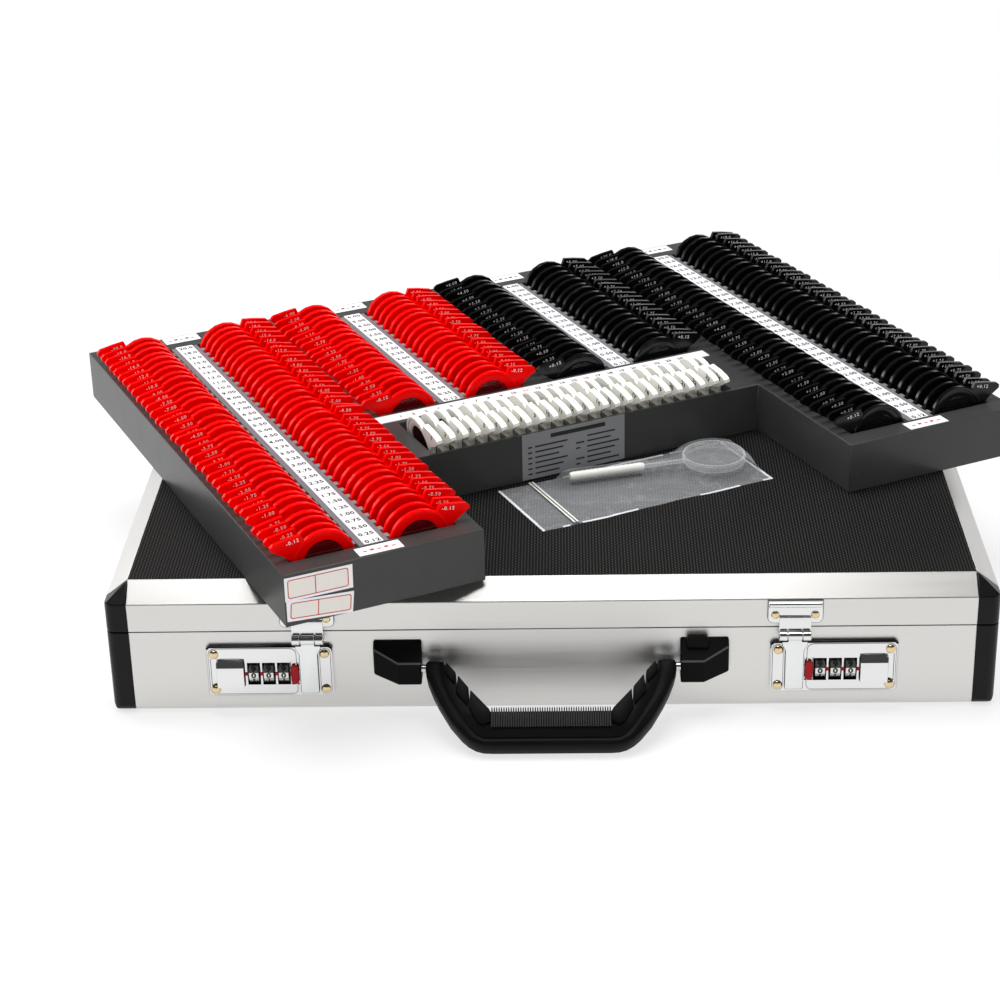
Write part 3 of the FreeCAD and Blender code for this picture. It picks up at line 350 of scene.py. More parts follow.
def finishPiece(name, shape, body, finishes, sharpAbove=35, replaces=()):
    mesh = bpy.data.meshes.new(name)
    shape.to_mesh(mesh)
    shape.free()
    for finish in finishes:
        mesh.materials.append(finish)
    mesh.shade_smooth()
    mesh.set_sharp_from_angle(angle=math.radians(sharpAbove))
    piece = addObject(name, mesh)
    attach(piece, body)
    if replaces:
        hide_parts(*replaces)
    return piece


def softened(node, width, finish, segments=2):  # a copy of a CAD piece with its edges eased
    shape = bmesh.new()
    shape.from_mesh(frame["nodes"][node].data)
    bmesh.ops.remove_doubles(shape, verts=shape.verts, dist=0.00001)
    bmesh.ops.dissolve_limit(shape, angle_limit=math.radians(1), verts=shape.verts, edges=shape.edges)
    piece = finishPiece(node + "Eased", shape, bodyOf(node), [finish], 30, [node])
    edge = piece.modifiers.new("easedEdges", "BEVEL")
    edge.width = width * mm
    edge.segments = segments
    edge.limit_method = "ANGLE"
    edge.angle_limit = math.radians(28)
    return piece


def dress(finish, *nodes):
    for node in nodes:
        item = frame["nodes"][node]
        item.data.materials.clear()
        item.data.materials.append(finish)


def paint(verts, index):  # the material of the faces that meet these corners
    for face in {face for vert in verts for face in vert.link_faces}:
        face.material_index = index


def thicken(shape, faces, way):
    made = bmesh.ops.extrude_face_region(shape, geom=faces, use_keep_orig=True)["geom"]
    lifted = [item for item in made if isinstance(item, bmesh.types.BMVert)]
    bmesh.ops.translate(shape, verts=lifted, vec=way)
    return lifted


def faceOut(shape, place=None):  # normals outwards, and then the whole shape to its place
    bmesh.ops.recalc_face_normals(shape, faces=shape.faces)
    if place is not None:
        bmesh.ops.transform(shape, matrix=place, verts=shape.verts)


def block(shape, low, high, index=0):
    middle = [(a + b) / 2 for a, b in zip(low, high)]
    size = [b - a for a, b in zip(low, high)]
    place = Matrix.Translation(middle) @ Matrix.Diagonal((*size, 1))
    verts = bmesh.ops.create_cube(shape, size=1, matrix=place)["verts"]
    paint(verts, index)
    return verts


def slab(shape, corners, rise, index=0):  # a flat plate from its corner points, given thickness
    verts = [shape.verts.new(corner) for corner in corners]
    verts += thicken(shape, [shape.faces.new(verts)], rise)
    paint(verts, index)
    return verts


def panel(left, low, right, high, z=0):  # a rectangle's corner points
    return [(left, low, z), (right, low, z), (right, high, z), (left, high, z)]


def easeEdges(shape, verts, width, segments=2):
    near = {edge for vert in verts for edge in vert.link_edges}
    sharp = [edge for edge in shape.edges
             if edge in near and edge.is_manifold and edge.calc_face_angle(0) > 0.5]
    bmesh.ops.bevel(shape, geom=sharp, offset=width, offset_type="OFFSET", segments=segments,
                    profile=0.5, affect="EDGES", material=-1, clamp_overlap=True)


def turned(shape, profile, steps, index=0):  # a closed profile of (radius, height) spun round Z
    verts = [shape.verts.new((radius, 0, height)) for radius, height in profile]
    edges = [shape.edges.new((verts[k - 1], verts[k])) for k in range(len(verts))]
    count = len(shape.faces)
    bmesh.ops.spin(shape, geom=verts + edges, axis=(0, 0, 1), cent=(0, 0, 0), steps=steps,
                   angle=2 * math.pi, use_merge=True)
    shape.faces.ensure_lookup_table()
    for face in shape.faces[count:]:
        face.material_index = index


def bothWays(half):  # a profile's lower half, and the same above it
    return half + [(radius, -height) for radius, height in reversed(half)]


words = {}


def word(text, height, align="CENTER", weight=0.018, spread=1.0):  # a flat mesh, kept for the next use
    key = (text, height, align, weight, spread)
    if key not in words:
        curve = bpy.data.curves.new("number", "FONT")
        curve.body = text
        curve.size = height / 0.73
        curve.align_x = align
        curve.align_y = "BOTTOM_BASELINE"
        curve.resolution_u = 2
        curve.offset = weight
        curve.space_character = spread
        holder = addObject("number", curve)
        bpy.context.view_layer.update()
        ready = holder.evaluated_get(bpy.context.evaluated_depsgraph_get())
        words[key] = bpy.data.meshes.new_from_object(ready)
        bpy.data.objects.remove(holder)
        bpy.data.curves.remove(curve)
    return words[key]


def stamp(shape, mesh, place, index=None):  # adds a copy of a mesh at a place
    count = len(shape.verts)
    faces = len(shape.faces)
    shape.from_mesh(mesh)
    shape.verts.ensure_lookup_table()
    bmesh.ops.transform(shape, matrix=place, verts=shape.verts[count:])
    if index is not None:
        shape.faces.ensure_lookup_table()
        for face in shape.faces[faces:]:
            face.material_index = index


def frameLine(shape, corners, width, rise, index):  # a raised line that runs round a flat outline
    face = shape.faces.new([shape.verts.new(corner) for corner in corners])
    face.normal_update()
    ring = bmesh.ops.inset_region(shape, faces=[face], thickness=width, use_boundary=True,
                                  use_even_offset=True)["faces"]
    bmesh.ops.delete(shape, geom=[face], context="FACES_ONLY")
    lifted = thicken(shape, ring, (0, 0, rise))
    paint(lifted + [vert for side in ring for vert in side.verts], index)


def rounded(left, low, right, high, radius):  # corner points of a rounded rectangle
    points = []
    centres = ((right - radius, low + radius, -90), (right - radius, high - radius, 0),
               (left + radius, high - radius, 90), (left + radius, low + radius, 180))
    for x, y, start in centres:
        for step in (0, 30, 60, 90):
            angle = math.radians(start + step)
            points.append((x + radius * math.cos(angle), y + radius * math.sin(angle), 0))
    return points


def keepMesh(shape, name):
    faceOut(shape)
    mesh = bpy.data.meshes.new(name)
    shape.to_mesh(mesh)
    shape.free()
    return mesh


def cutPlate(corners, thickness, radius=0.0, picked=None, edge=0.0, side=0):  # a sheet piece
    flat = bmesh.new()
    verts = [flat.verts.new((x, y, 0)) for x, y in corners]
    flat.faces.new(verts)
    if radius:
        bmesh.ops.bevel(flat, geom=[verts[k] for k in picked], offset=radius, offset_type="OFFSET",
                        segments=5, profile=0.5, affect="VERTICES", material=-1, clamp_overlap=True)
    thicken(flat, flat.faces[:], (0, 0, thickness))
    faceOut(flat)
    if edge:
        easeEdges(flat, flat.verts[:], edge)
    for face in flat.faces:
        face.material_index = side if abs(face.normal.z) < 0.95 else 0
    return keepMesh(flat, "cutPlate")


def sliceOff(shape, point, normal):  # cuts away what lies on the normal's side and closes the cut
    everything = shape.verts[:] + shape.edges[:] + shape.faces[:]
    cut = bmesh.ops.bisect_plane(shape, geom=everything, dist=0.0001, plane_co=point, plane_no=normal,
                                 clear_outer=True)["geom_cut"]
    bmesh.ops.contextual_create(shape, geom=[item for item in cut if isinstance(item, bmesh.types.BMEdge)])


def barrel(low, high, radius, edge=0.4):  # a round bar along X
    shape = bmesh.new()
    turned(shape, [(0.01, low), (radius - edge, low), (radius, low + edge), (radius, high - edge),
                   (radius - edge, high), (0.01, high)], 24)
    bmesh.ops.transform(shape, matrix=turn(90, "Y"), verts=shape.verts)
    return keepMesh(shape, "barrel")


def darkenTops(piece, finish):  # painted shade: the plated steel's upward faces get the dark steel
    piece.data.materials.append(finish)
    for face in piece.data.polygons:
        if face.normal.z > 0.5:
            face.material_index = 1


# Case shell
shell = {"railEdge": 0.5, "cornerEdge": 0.9, "plateEdge": 0.35, "feetEdge": 0.8}
for finish, ends in ((aluX, ("front", "rear")), (aluY, ("left", "right"))):
    for half in ("base", "lid"):
        for end in ends:
            softened(f"{half}_{end}_rail", shell["railEdge"], finish)
for node in ("base_corners", "lid_corners"):
    softened(node, shell["cornerEdge"], cornerBlack, 3)
for node in ("lock_plate_left", "lock_plate_right"):
    darkenTops(softened(node, shell["plateEdge"], chrome), paintedShadeSteel)
softened("rear_feet", shell["feetEdge"], cornerBlack)
dress(weave, "lid_panel", "base_panel")
dress(foamLining, "base_liner", "lid_liner")
dress(steel, "base_hinge_leaves", "lid_hinge_leaves", "hinge_pins", "lock_axles", "hasp_pins", "handle_pins")
print("case shell finished")


# Combination locks: number wheels, rivet domes, raised lines, red marks, slides and thumb buttons
lock = {
    "front": -201.5, "axisY": -196.9, "axisZ": 27.5,
    "dials": (158.1, 167.0, 175.9), "dialRadius": 6.95, "dialWidth": 6.6, "dialBore": 1.62,
    "dialChamfer": (0.9, 0.5), "digit": 3.3, "digitStretch": 1.3, "bandWidth": 0.45,
    "lines": ((150.4, 13.6, 202.2, 44.4, 3.6), (130.2, 14.0, 136.2, 44.0, 2.2)), "line": (0.4, 0.25, 0),
    "shadows": ((150.1, 13.3, 202.5, 44.7, 3.8), (129.9, 13.7, 136.5, 44.3, 2.4),
                (181.0, 19.1, 198.2, 37.9, 3.6)), "shadow": (0.35, 0.05, 2),
    "marks": ((153.4, 154.6), (161.6, 163.5), (170.5, 172.4), (179.4, 181.6)), "markHalf": 1.15,
    "slide": [(149.3, 21), (153.6, 21), (153.6, 33), (149.3, 33), (149.3, 30.8), (148.7, 29.6), (149.3, 28.4)],
    "slideBack": -200.8, "slideThick": 2, "slideCorner": 1.5, "slideEdge": 0.4,
    "button": [(181.6, 19.7), (197.6, 19.7), (197.6, 37.3), (181.6, 37.3)], "buttonThick": 4,
    "buttonCorner": 3.2, "buttonEdge": 0.3, "buttonSlope": ((0, -204.8, 33.0), (0, -0.72, 0.69)),
}
rivets = {
    "lock": {"places": ((133.4, 17.2), (133.4, 40.8), (199.0, 17.2), (199.0, 40.8)), "wall": -201.5,
             "radius": 2.9, "height": 1.9},
    "keeper": {"places": ((131.2, 63.2), (154.4, 63.2)), "wall": -200.0, "radius": 2.5, "height": 1.5},
    "hingeColumns": (170, 190, 210), "hingeRows": (("base", 43.5), ("lid", 65)),
}


def numberWheel(side, k, spec):
    shape = bmesh.new()
    radius, half, bore = spec["dialRadius"], spec["dialWidth"] / 2, spec["dialBore"]
    rim, flank = radius - spec["dialChamfer"][0], half - spec["dialChamfer"][1]
    turned(shape, bothWays([(bore, -half), (rim, -half), (radius, -flank)]), 10)
    for face in shape.faces:
        if abs(face.normal.z) > 0.3:
            face.material_index = 1
    flat, edge = radius * math.cos(math.radians(18)), radius * math.sin(math.radians(18))
    stretch = Matrix.Diagonal((spec["digitStretch"], 1, 1, 1)) @ move(0, -spec["digit"] / 2, 0)
    for digit in range(10):
        angle = math.radians(270 + 36 * digit)
        out = Vector((0, math.sin(angle), -math.cos(angle)))
        up = Vector((0, -math.cos(angle), -math.sin(angle)))
        facing = Matrix((Vector((1, 0, 0)), up, out)).transposed().to_4x4()
        # the wheel is spun round Z here, so its numbers are turned back from the lock's X axis
        place = turn(-90, "Y") @ Matrix.Translation(out * (flat + 0.04)) @ facing
        stamp(shape, word(str(digit), spec["digit"], weight=0.2), place @ stretch, 1)
        band = turn(-90, "Y") @ Matrix.Translation(out * (flat - 0.05)) @ facing
        bar = block(shape, (-flank, edge - spec["bandWidth"], -0.2), (flank, edge + 0.05, 0.12), 1)
        bmesh.ops.transform(shape, matrix=band, verts=bar)
    x = spec["dials"][k] * (-1 if side == "left" else 1)
    faceOut(shape, toMetres @ (move(x, spec["axisY"], spec["axisZ"]) @ turn(90, "Y")))
    node = f"dial_{side}_{k + 1}"
    finishPiece(node + "Wheel", shape, node, [dialFace, dialBlack], 20, [node])


def rivetDomes(name, spec, body, finish, replaces=(), facing=standUp):
    radius, height = spec["radius"], spec["height"]
    dome = bmesh.new()
    turned(dome, [(0.01, -0.4), (radius, -0.4), (radius, 0.25), (radius * 0.93, height * 0.5),
                  (radius * 0.7, height * 0.85), (0.01, height)], 24)
    mesh = keepMesh(dome, name)
    shape = bmesh.new()
    for x, z in spec["places"]:
        for sign in (-1, 1):
            stamp(shape, mesh, toMetres @ move(sign * x, spec["wall"], z) @ facing)
    finishPiece(name, shape, body, [finish], 60, replaces)


def plateLines(spec):
    shape = bmesh.new()
    for sign in (-1, 1):
        line = bmesh.new()
        for group, look in (("lines", "line"), ("shadows", "shadow")):
            for inner, low, outer, high, radius in spec[group]:
                left, right = sorted((sign * inner, sign * outer))
                frameLine(line, rounded(left, low, right, high, radius), *spec[look])
        for inner, outer in spec["marks"]:
            start, end = sorted((sign * inner, sign * outer))
            low, high = spec["axisZ"] - spec["markHalf"], spec["axisZ"] + spec["markHalf"]
            block(line, (start, low, -0.1), (end, high, 0.2), 1)
        stamp(shape, keepMesh(line, "plateLine"), toMetres @ onWall(spec["front"]))
    finishPiece("lockPlateLines", shape, "base", [chrome, slideRed, paintedShadeSteel], 30)


def slideAndButton(side, sign, spec):
    wall = onWall(spec["slideBack"])
    shape = bmesh.new()
    slide = cutPlate(spec["slide"], spec["slideThick"], spec["slideCorner"], (0, 1, 2, 3), spec["slideEdge"])
    stamp(shape, slide, toMetres @ (flip(sign) @ wall))
    faceOut(shape)
    node = "setting_slide_" + side
    finishPiece(node + "Bar", shape, bodyOf(node), [slideRed], 35, [node])
    solid = bmesh.new()
    stamp(solid, cutPlate(spec["button"], spec["buttonThick"], spec["buttonCorner"], (2, 3), side=1), wall)
    sliceOff(solid, *spec["buttonSlope"])
    faceOut(solid)
    for face in solid.faces:  # the slope above is mirror bright, like the front; the top and sides keep the dark steel as painted shade
        if face.normal.y < -0.4:
            face.material_index = 0
    easeEdges(solid, solid.verts[:], spec["buttonEdge"], 1)
    bmesh.ops.transform(solid, matrix=toMetres @ flip(sign), verts=solid.verts)
    faceOut(solid)
    node = "lock_button_" + side
    finishPiece(node + "Push", solid, bodyOf(node), [chrome, paintedShadeSteel], 25, [node])


for side, sign in (("left", -1), ("right", 1)):
    slideAndButton(side, sign, lock)
    for k in range(3):
        numberWheel(side, k, lock)
rivetDomes("lockRivetDomes", rivets["lock"], "base", gold, ["lock_rivets"])
rivetDomes("keeperRivetDomes", rivets["keeper"], "lid", gold, ["keeper_rivets"])
for body, z in rivets["hingeRows"]:
    screws = {"places": [(x, z) for x in rivets["hingeColumns"]], "wall": 200, "radius": 2.1, "height": 0.9}
    rivetDomes(body + "HingeScrews", screws, body, steel, facing=turn(180, "Z") @ standUp)
plateLines(lock)
print("locks detailed")

# Hasps and their keeper plates on the lid
hasp = {
    "middle": 142.8, "axisY": -202.5, "axisZ": 50.5, "knuckle": 3.0, "knuckleHalf": 4.2,
    "leaf": [(-4.2, 50), (4.2, 50), (4.2, 47.1), (7.6, 47.1), (7.6, 44.6), (5.5, 41.6), (5.5, 15),
             (-5.5, 15), (-5.5, 41.6), (-7.6, 44.6), (-7.6, 47.1), (-4.2, 47.1)],
    "leafBack": -201.8, "leafThick": 1.8, "leafCorner": 1.3, "leafEdge": 0.35,
    "plate": [(126.7, 57.5), (159.1, 57.5), (159.1, 72.5), (126.7, 72.5)],
    "plateBack": -198.5, "plateThick": 1.5, "plateCorner": 3.4, "plateEdge": 0.4,
    "rollEnds": (127.2, 158.6), "rollRadius": 1.7, "rollEdge": 0.6, "rollAt": (0, -199.9, 69.6),
    "tongue": [(133.4, 53), (152.2, 53), (152.2, 62), (133.4, 62)], "tongueThick": 1.8, "tongueEdge": 0.5,
    "outerKnuckles": ((133.4, 138.3), (147.3, 152.2)),
}


def hangHasps(spec):
    # painted shade: the leaf's sides get the dark steel as a dark outline
    leaf = cutPlate(spec["leaf"], spec["leafThick"], spec["leafCorner"], range(4, 10), spec["leafEdge"], 2)
    knuckleAt = move(0, spec["axisY"], spec["axisZ"])
    for side, sign in (("left", -1), ("right", 1)):
        middle, half = sign * spec["middle"], spec["knuckleHalf"]
        shape = bmesh.new()
        stamp(shape, leaf, move(middle, spec["leafBack"], 0) @ standUp)
        stamp(shape, barrel(middle - half, middle + half, spec["knuckle"]), knuckleAt, 1)
        faceOut(shape, toMetres)
        node = "hasp_" + side
        finishPiece(node + "Leaf", shape, bodyOf(node), [satin, chrome, paintedShadeSteel], 35, [node])
    # painted shade: the keeper plate's sides get the dark steel
    plate = cutPlate(spec["plate"], spec["plateThick"], spec["plateCorner"], (0, 1), spec["plateEdge"], 1)
    tongue = cutPlate(spec["tongue"], spec["tongueThick"], edge=spec["tongueEdge"])
    roll = barrel(*spec["rollEnds"], spec["rollRadius"], spec["rollEdge"])
    meshes = [(plate, onWall(spec["plateBack"])), (tongue, onWall(spec["plateBack"] - spec["plateThick"])),
              (roll, move(*spec["rollAt"]))]
    meshes += [(barrel(low, high, spec["knuckle"]), knuckleAt) for low, high in spec["outerKnuckles"]]
    shape = bmesh.new()
    for sign in (1, -1):
        for mesh, place in meshes:
            stamp(shape, mesh, toMetres @ flip(sign) @ place)
    faceOut(shape)
    finishPiece("keeperPlateSet", shape, "lid", [chrome, paintedShadeSteel], 35, ["keeper_plates"])


hangHasps(hasp)
print("hasps hung")

# Handle: a smooth outer band, a core, a ribbed grip and stepped pads along both arms
grip = {
    "pivot": (0, -206.5, 33), "lean": -146,
    "outer": [(73.4, -2.2), (73.4, 3.6), (72.0, 9.5), (68.8, 18), (65.2, 25.4), (58.4, 37.2),
              (51.8, 45.4), (47.8, 49.1), (43.6, 51.6), (39.2, 52.9), (34, 53.3)],
    "inner": [(34, 47.8), (39.2, 47.5), (42.4, 45.8), (46.4, 41.4), (52.0, 33.0), (58.5, 21.5),
              (62.0, 12.5), (63.5, 4.0), (63.5, -2.2)],
    "core": [(63.0, -1.6), (60.4, 3.4), (57.4, 10.5), (51.6, 17.8), (47.4, 24.4), (40, 30.6), (36, 30.6)],
    "bandHalf": 7.0, "bandEdge": 2.4, "coreHalf": 5.6, "coreEdge": 0.8, "coreLap": 1,
    "ribs": 50, "ribHalf": 34.2, "ribWidth": 0.8, "ribFrom": 28.8, "ribTo": 41.3, "ribNose": 1.2,
    "ribRise": 7.1, "padHalf": 7.3, "padEdge": 0.6,
    "pads": [[(61.2, -0.8), (55.8, 5.7), (55.3, 7.9), (56.3, 13.0), (62.6, 5.6)],
             [(54.2, 7.9), (48.0, 15.9), (47.7, 18.7), (48.3, 27.0), (55.4, 18.9)],
             [(46.9, 17.3), (36.0, 29.5), (34.9, 31.7), (35.1, 38), (39.7, 39.8), (42.6, 38.1), (47.6, 28.7)]],
}


def carryingHandle(spec):
    shape = bmesh.new()

    def addLayer(outline, half, edge):
        stamp(shape, cutPlate(outline, 2 * half, edge=edge), move(0, 0, -half))

    lap = spec["coreLap"]
    band = spec["outer"] + [(-x, y) for x, y in reversed(spec["outer"])]
    band += [(-x, y) for x, y in reversed(spec["inner"])] + spec["inner"]
    addLayer(band, spec["bandHalf"], spec["bandEdge"])
    core = [(x + lap, y) for x, y in reversed(spec["inner"])] + [(-x - lap, y) for x, y in spec["inner"]]
    core += [(-x, y) for x, y in spec["core"]] + [(x, y) for x, y in reversed(spec["core"])]
    addLayer(core, spec["coreHalf"], spec["coreEdge"])
    for outline in spec["pads"]:
        for sign in (-1, 1):
            addLayer([(sign * x, y) for x, y in outline], spec["padHalf"], spec["padEdge"])
    side, rise = spec["ribWidth"] / 2, spec["ribRise"]
    low, high = spec["ribFrom"], spec["ribTo"]
    shoulder = low + spec["ribNose"]
    for k in range(spec["ribs"]):
        x = spec["ribHalf"] * (2 * k / (spec["ribs"] - 1) - 1)
        rib = [(x - side, high), (x + side, high), (x + side, shoulder), (x + side * 0.3, low),
               (x - side * 0.3, low), (x - side, shoulder)]
        slab(shape, [(a, b, -rise) for a, b in rib], (0, 0, 2 * rise), 1)
    faceOut(shape, toMetres @ (move(*spec["pivot"]) @ turn(spec["lean"], "X")))
    finishPiece("carryingHandle", shape, "handle", [handleBlack, ribBlack], 30, ["handle"])


carryingHandle(grip)

bracket = {
    "inner": 76, "width": 28.5, "side": [(-198.5, 24), (-198.5, 48.5), (-210.5, 38.4), (-210.5, 24)],
    "faceCut": ((89.7, -210.5, 0), (0.4276, -0.904, 0)), "footCut": ((89.7, 0, 24), (0.224, 0, -0.9746)),
    "edge": 0.7, "bump": ((79.5, -205.5, 44.0), (92.5, -199.5, 50.0)), "bumpEdge": 1.6,
}


def handleBrackets(spec):
    solid = bmesh.new()
    slab(solid, [(spec["inner"], y, z) for y, z in spec["side"]], (spec["width"], 0, 0))
    faceOut(solid)
    sliceOff(solid, *spec["faceCut"])
    sliceOff(solid, *spec["footCut"])
    faceOut(solid)
    easeEdges(solid, solid.verts[:], spec["edge"], 1)
    for face in solid.faces:  # painted highlight: the lip's faces get a lighter, glossier black where they catch the light
        if face.normal.y < -0.6 and 0.2 < face.normal.z < 0.6:
            face.material_index = 1
    mesh = keepMesh(solid, "bracket")
    shape = bmesh.new()
    for sign in (1, -1):
        stamp(shape, mesh, flip(sign))
    easeEdges(shape, block(shape, *spec["bump"]), spec["bumpEdge"], 3)
    faceOut(shape, toMetres)
    finishPiece("handleBracketPair", shape, "base", [handleBlack, paintedHighlightBlack], 20, ["handle_brackets"])


handleBrackets(bracket)
print("handle detailed")


# Tray
tray = {"edge": 0.6, "railEdge": 0.2}
softened("tray_body", tray["edge"], trayGrey)
dress(ribGrey, "ribs_left_wing", "ribs_right_wing", "ribs_middle_left", "ribs_middle_right", "ribs_comb")
softened("label_rails", tray["railEdge"], railGrey)
dress(paperWhite, "number_strips")

# Lenses
lens = {
    "radius": 19, "thickness": 3, "height": 27.3, "glass": 12.6, "edge": 0.45, "tabThickness": 2.2,
    "tab": [(11.8, 15.2), (13.6, 19.3), (21.5, 18.2), (30.5, 16.4), (32.4, 14.6), (32.2, 12.6),
            (25, 8), (21, 4.6), (18.2, 2)],
    "whiteTab": [(11.8, 15.2), (13.6, 19.4), (23.9, 18.9), (31.2, 17.5), (33.4, 16.0), (33.6, 14.0),
                 (30.4, 11.6), (20, 6.6), (18.2, 2)],
    "plainFace": (1.5, -0.6), "whiteFace": (1.5, -0.1), "whiteExtra": 0.8,
    "numberHeight": 2.3, "numberStart": 14.8, "numberBase": 15.5, "numberSlope": -9.7,
}
columns = {
    "strips": (62.1, 187.1, 312.1, 437.1), "longStrips": (0, 3), "offset": {-1: -30.5, 1: 28.6},
    "pitch": 9.8235, "longFirst": 18, "shortFirst": 185.0, "openLenses": 3,
    "tilt": 3, "twist": 1.6, "lift": (-0.5, 0.6),  # how far a lens may stand out of line
    "red": ("-", lensRed, redGlass, "lens_red"), "black": ("+", lensBlack, darkGlass, "lens_black"),
    # each step between two lenses' powers, and the power up to which it goes
    "weakest": 0.125, "longPowers": ((0.25, 4), (0.5, 8), (1, 16), (2, 20)),
    "shortPowers": ((0.25, 3), (0.5, 5), (1, 6)),
}


def powerSeries(steps):  # the strengths of a column's lenses, as they are printed
    values = [columns["weakest"]]
    for step, last in steps:
        while values[-1] < last:
            values.append((values[-1] // step + 1) * step)
    return [f"{value:.2f}"[:4] for value in values]


def stripRows():  # each strip's count, its place, and its lenses' places and powers
    for k, strip in enumerate(columns["strips"]):
        size = "long" if k in columns["longStrips"] else "short"
        powers = powerSeries(columns[size + "Powers"])
        places = [columns[size + "First"] + j * columns["pitch"] for j in range(len(powers))]
        yield k, strip, places, powers


def tabPlate(shape, side, outline, extra):
    half = lens["tabThickness"] / 2 + extra
    slab(shape, [(side * a, b, -half) for a, b in outline], (0, 0, 2 * half))


def plainLens(side, outline, face, extra=0.0):  # one that stands behind another: a rim with a stepped face
    shape = bmesh.new()
    half = lens["thickness"] / 2 + extra / 3
    verts = bmesh.ops.create_circle(shape, cap_ends=True, segments=20, radius=lens["radius"])["verts"]
    top = thicken(shape, [verts[0].link_faces[0]], (0, 0, half))
    bmesh.ops.translate(shape, verts=verts, vec=(0, 0, -half))
    easeEdges(shape, top, lens["edge"], 1)
    front = max(shape.faces, key=lambda item: item.calc_center_median().z)
    bmesh.ops.inset_region(shape, faces=[front], thickness=face[0], depth=face[1], use_even_offset=True)
    tabPlate(shape, side, outline, extra)
    return keepMesh(shape, "plainLens")


def openLens(side, outline, extra=0.0):  # one that is seen from the front: rim, seat and glass
    shape = bmesh.new()
    radius, glass, edge = lens["radius"], lens["glass"], lens["edge"]
    half = lens["thickness"] / 2 + extra / 3
    lip, seat = glass + 0.9, glass + 1.6
    turned(shape, [
        (glass, -half * 0.4), (lip, -half * 0.5), (seat, -half), (radius - edge, -half),
        (radius, -half + edge), (radius, half - edge), (radius - edge, half), (radius - 1.9, half),
        (radius - 2.3, half - 0.5), (seat, half - 0.5), (lip, half * 0.5), (glass, half * 0.4),
    ], 40)
    turned(shape, bothWays([(0.01, -0.5), (glass + 0.3, -0.3)]), 40, 1)
    tabPlate(shape, side, outline, extra)
    return keepMesh(shape, "openLens")


lensForms = {side: (openLens(side, lens["tab"]), plainLens(side, lens["tab"], lens["plainFace"]))
             for side in (-1, 1)}
whiteForms = (openLens(1, lens["whiteTab"], lens["whiteExtra"]),
              plainLens(1, lens["whiteTab"], lens["whiteFace"], lens["whiteExtra"]))


def tabNumber(shape, place, side, text):
    mesh = word(text, lens["numberHeight"], "LEFT" if side > 0 else "RIGHT", 0.03, 1.25)
    slope = turn(lens["numberSlope"] * side, "Z")
    at = move(side * lens["numberStart"], lens["numberBase"], lens["tabThickness"] / 2 + 0.05)
    stamp(shape, mesh, place @ at @ slope, 2)


def lensColumn(row, x, side, places, powers, look):
    sign, finish, glass, slot = look
    shape = bmesh.new()
    for k, (y, power) in enumerate(zip(places, powers)):
        tilt = turn(random.uniform(-columns["tilt"], columns["tilt"]) - side, "X")
        twist = turn(random.uniform(-columns["twist"], columns["twist"]), "Y")
        lift = random.uniform(*columns["lift"])
        place = toTray @ move(x, y, lens["height"] + lift) @ twist @ tilt @ standUp
        stamp(shape, lensForms[side][0 if k < columns["openLenses"] else 1], place)
        tabNumber(shape, place, side, sign + power)
    node = f"lens_row_{row}"
    finishPiece(f"lensRow{row}", shape, node, [finish, glass, inkWhite], 32, [node])


for k, strip, places, powers in stripRows():
    look = columns["red" if k < 2 else "black"]
    for j, side in enumerate((-1, 1)):
        lensColumn(2 * k + 1 + j, strip + columns["offset"][side], side, places, powers, look)
print("lens columns filled")

crossRow = {
    "first": 146, "pitch": 8.9, "count": 24, "middle": 139.6, "lean": 8, "tilt": 3, "lift": 0.6,
    "mark": (25.4, 15.6), "markTurn": -25, "markHeight": 3.6, "markWeight": 0.22, "markRise": 0.85,
    "dot": (7.0, 17.0), "dotRadius": 0.5, "dotRise": 0.3, "open": (0, 2, 9, 14, 23),
}


def crossPlaces(shift=0):
    return [crossRow["first"] + (k + shift) * crossRow["pitch"] for k in range(crossRow["count"])]


def fillCrossRow(spec):
    dot = bmesh.new()
    bmesh.ops.create_circle(dot, cap_ends=True, segments=8, radius=spec["dotRadius"])
    rimDot = keepMesh(dot, "rimDot")
    shape = bmesh.new()
    markAt = move(*spec["mark"], lens["tabThickness"] / 2 + spec["markRise"]) @ turn(spec["markTurn"], "Z")
    markAt = markAt @ move(0, -spec["markHeight"] / 2, 0)
    dotAt = move(*spec["dot"], lens["thickness"] / 2 + spec["dotRise"])
    for k, x in enumerate(crossPlaces()):
        tilt = turn(random.uniform(-spec["tilt"], spec["tilt"]) - spec["lean"], "Y")
        lift = random.uniform(-spec["lift"], spec["lift"])
        place = toTray @ move(x, spec["middle"], lens["height"] + lift) @ tilt @ turn(-90, "Z") @ standUp
        stamp(shape, whiteForms[0 if k in spec["open"] else 1], place)
        stamp(shape, word(str(k + 1), spec["markHeight"], weight=spec["markWeight"]), place @ markAt, 2)
        stamp(shape, rimDot, place @ dotAt, 2)
    finishPiece("lensRowCross", shape, "lens_row_cross", [lensWhite, maroonGlass, inkBlack], 40,
                ["lens_row_cross"])


fillCrossRow(crossRow)

# Numbers on the strips, and along the crosswise row with every fifth one red
stripPrint = {
    "top": 32.95, "height": 3.8, "weight": 0.17, "spread": 1.08, "shift": -0.4,
    "rowY": 171.2, "rowTop": 33.35, "rowHeight": 3.0, "rowWeight": 0.12, "redEvery": 5,
}


def printStrips(spec):
    shape = bmesh.new()
    for k, strip, places, powers in stripRows():
        for y, power in zip(places, powers):
            mesh = word(power, spec["height"], weight=spec["weight"], spread=spec["spread"])
            stamp(shape, mesh, toTray @ move(strip + spec["shift"], y - spec["height"] / 2, spec["top"]))
    for k, x in enumerate(crossPlaces()):
        mesh = word(str(k + 1), spec["rowHeight"], weight=spec["rowWeight"])
        stamp(shape, mesh, toTray @ move(x, spec["rowY"], spec["rowTop"]), 0 if k % spec["redEvery"] else 1)
    finishPiece("stripNumbers", shape, "tray", [inkBlack, inkRed], 50)


printStrips(stripPrint)
print("numbers printed")

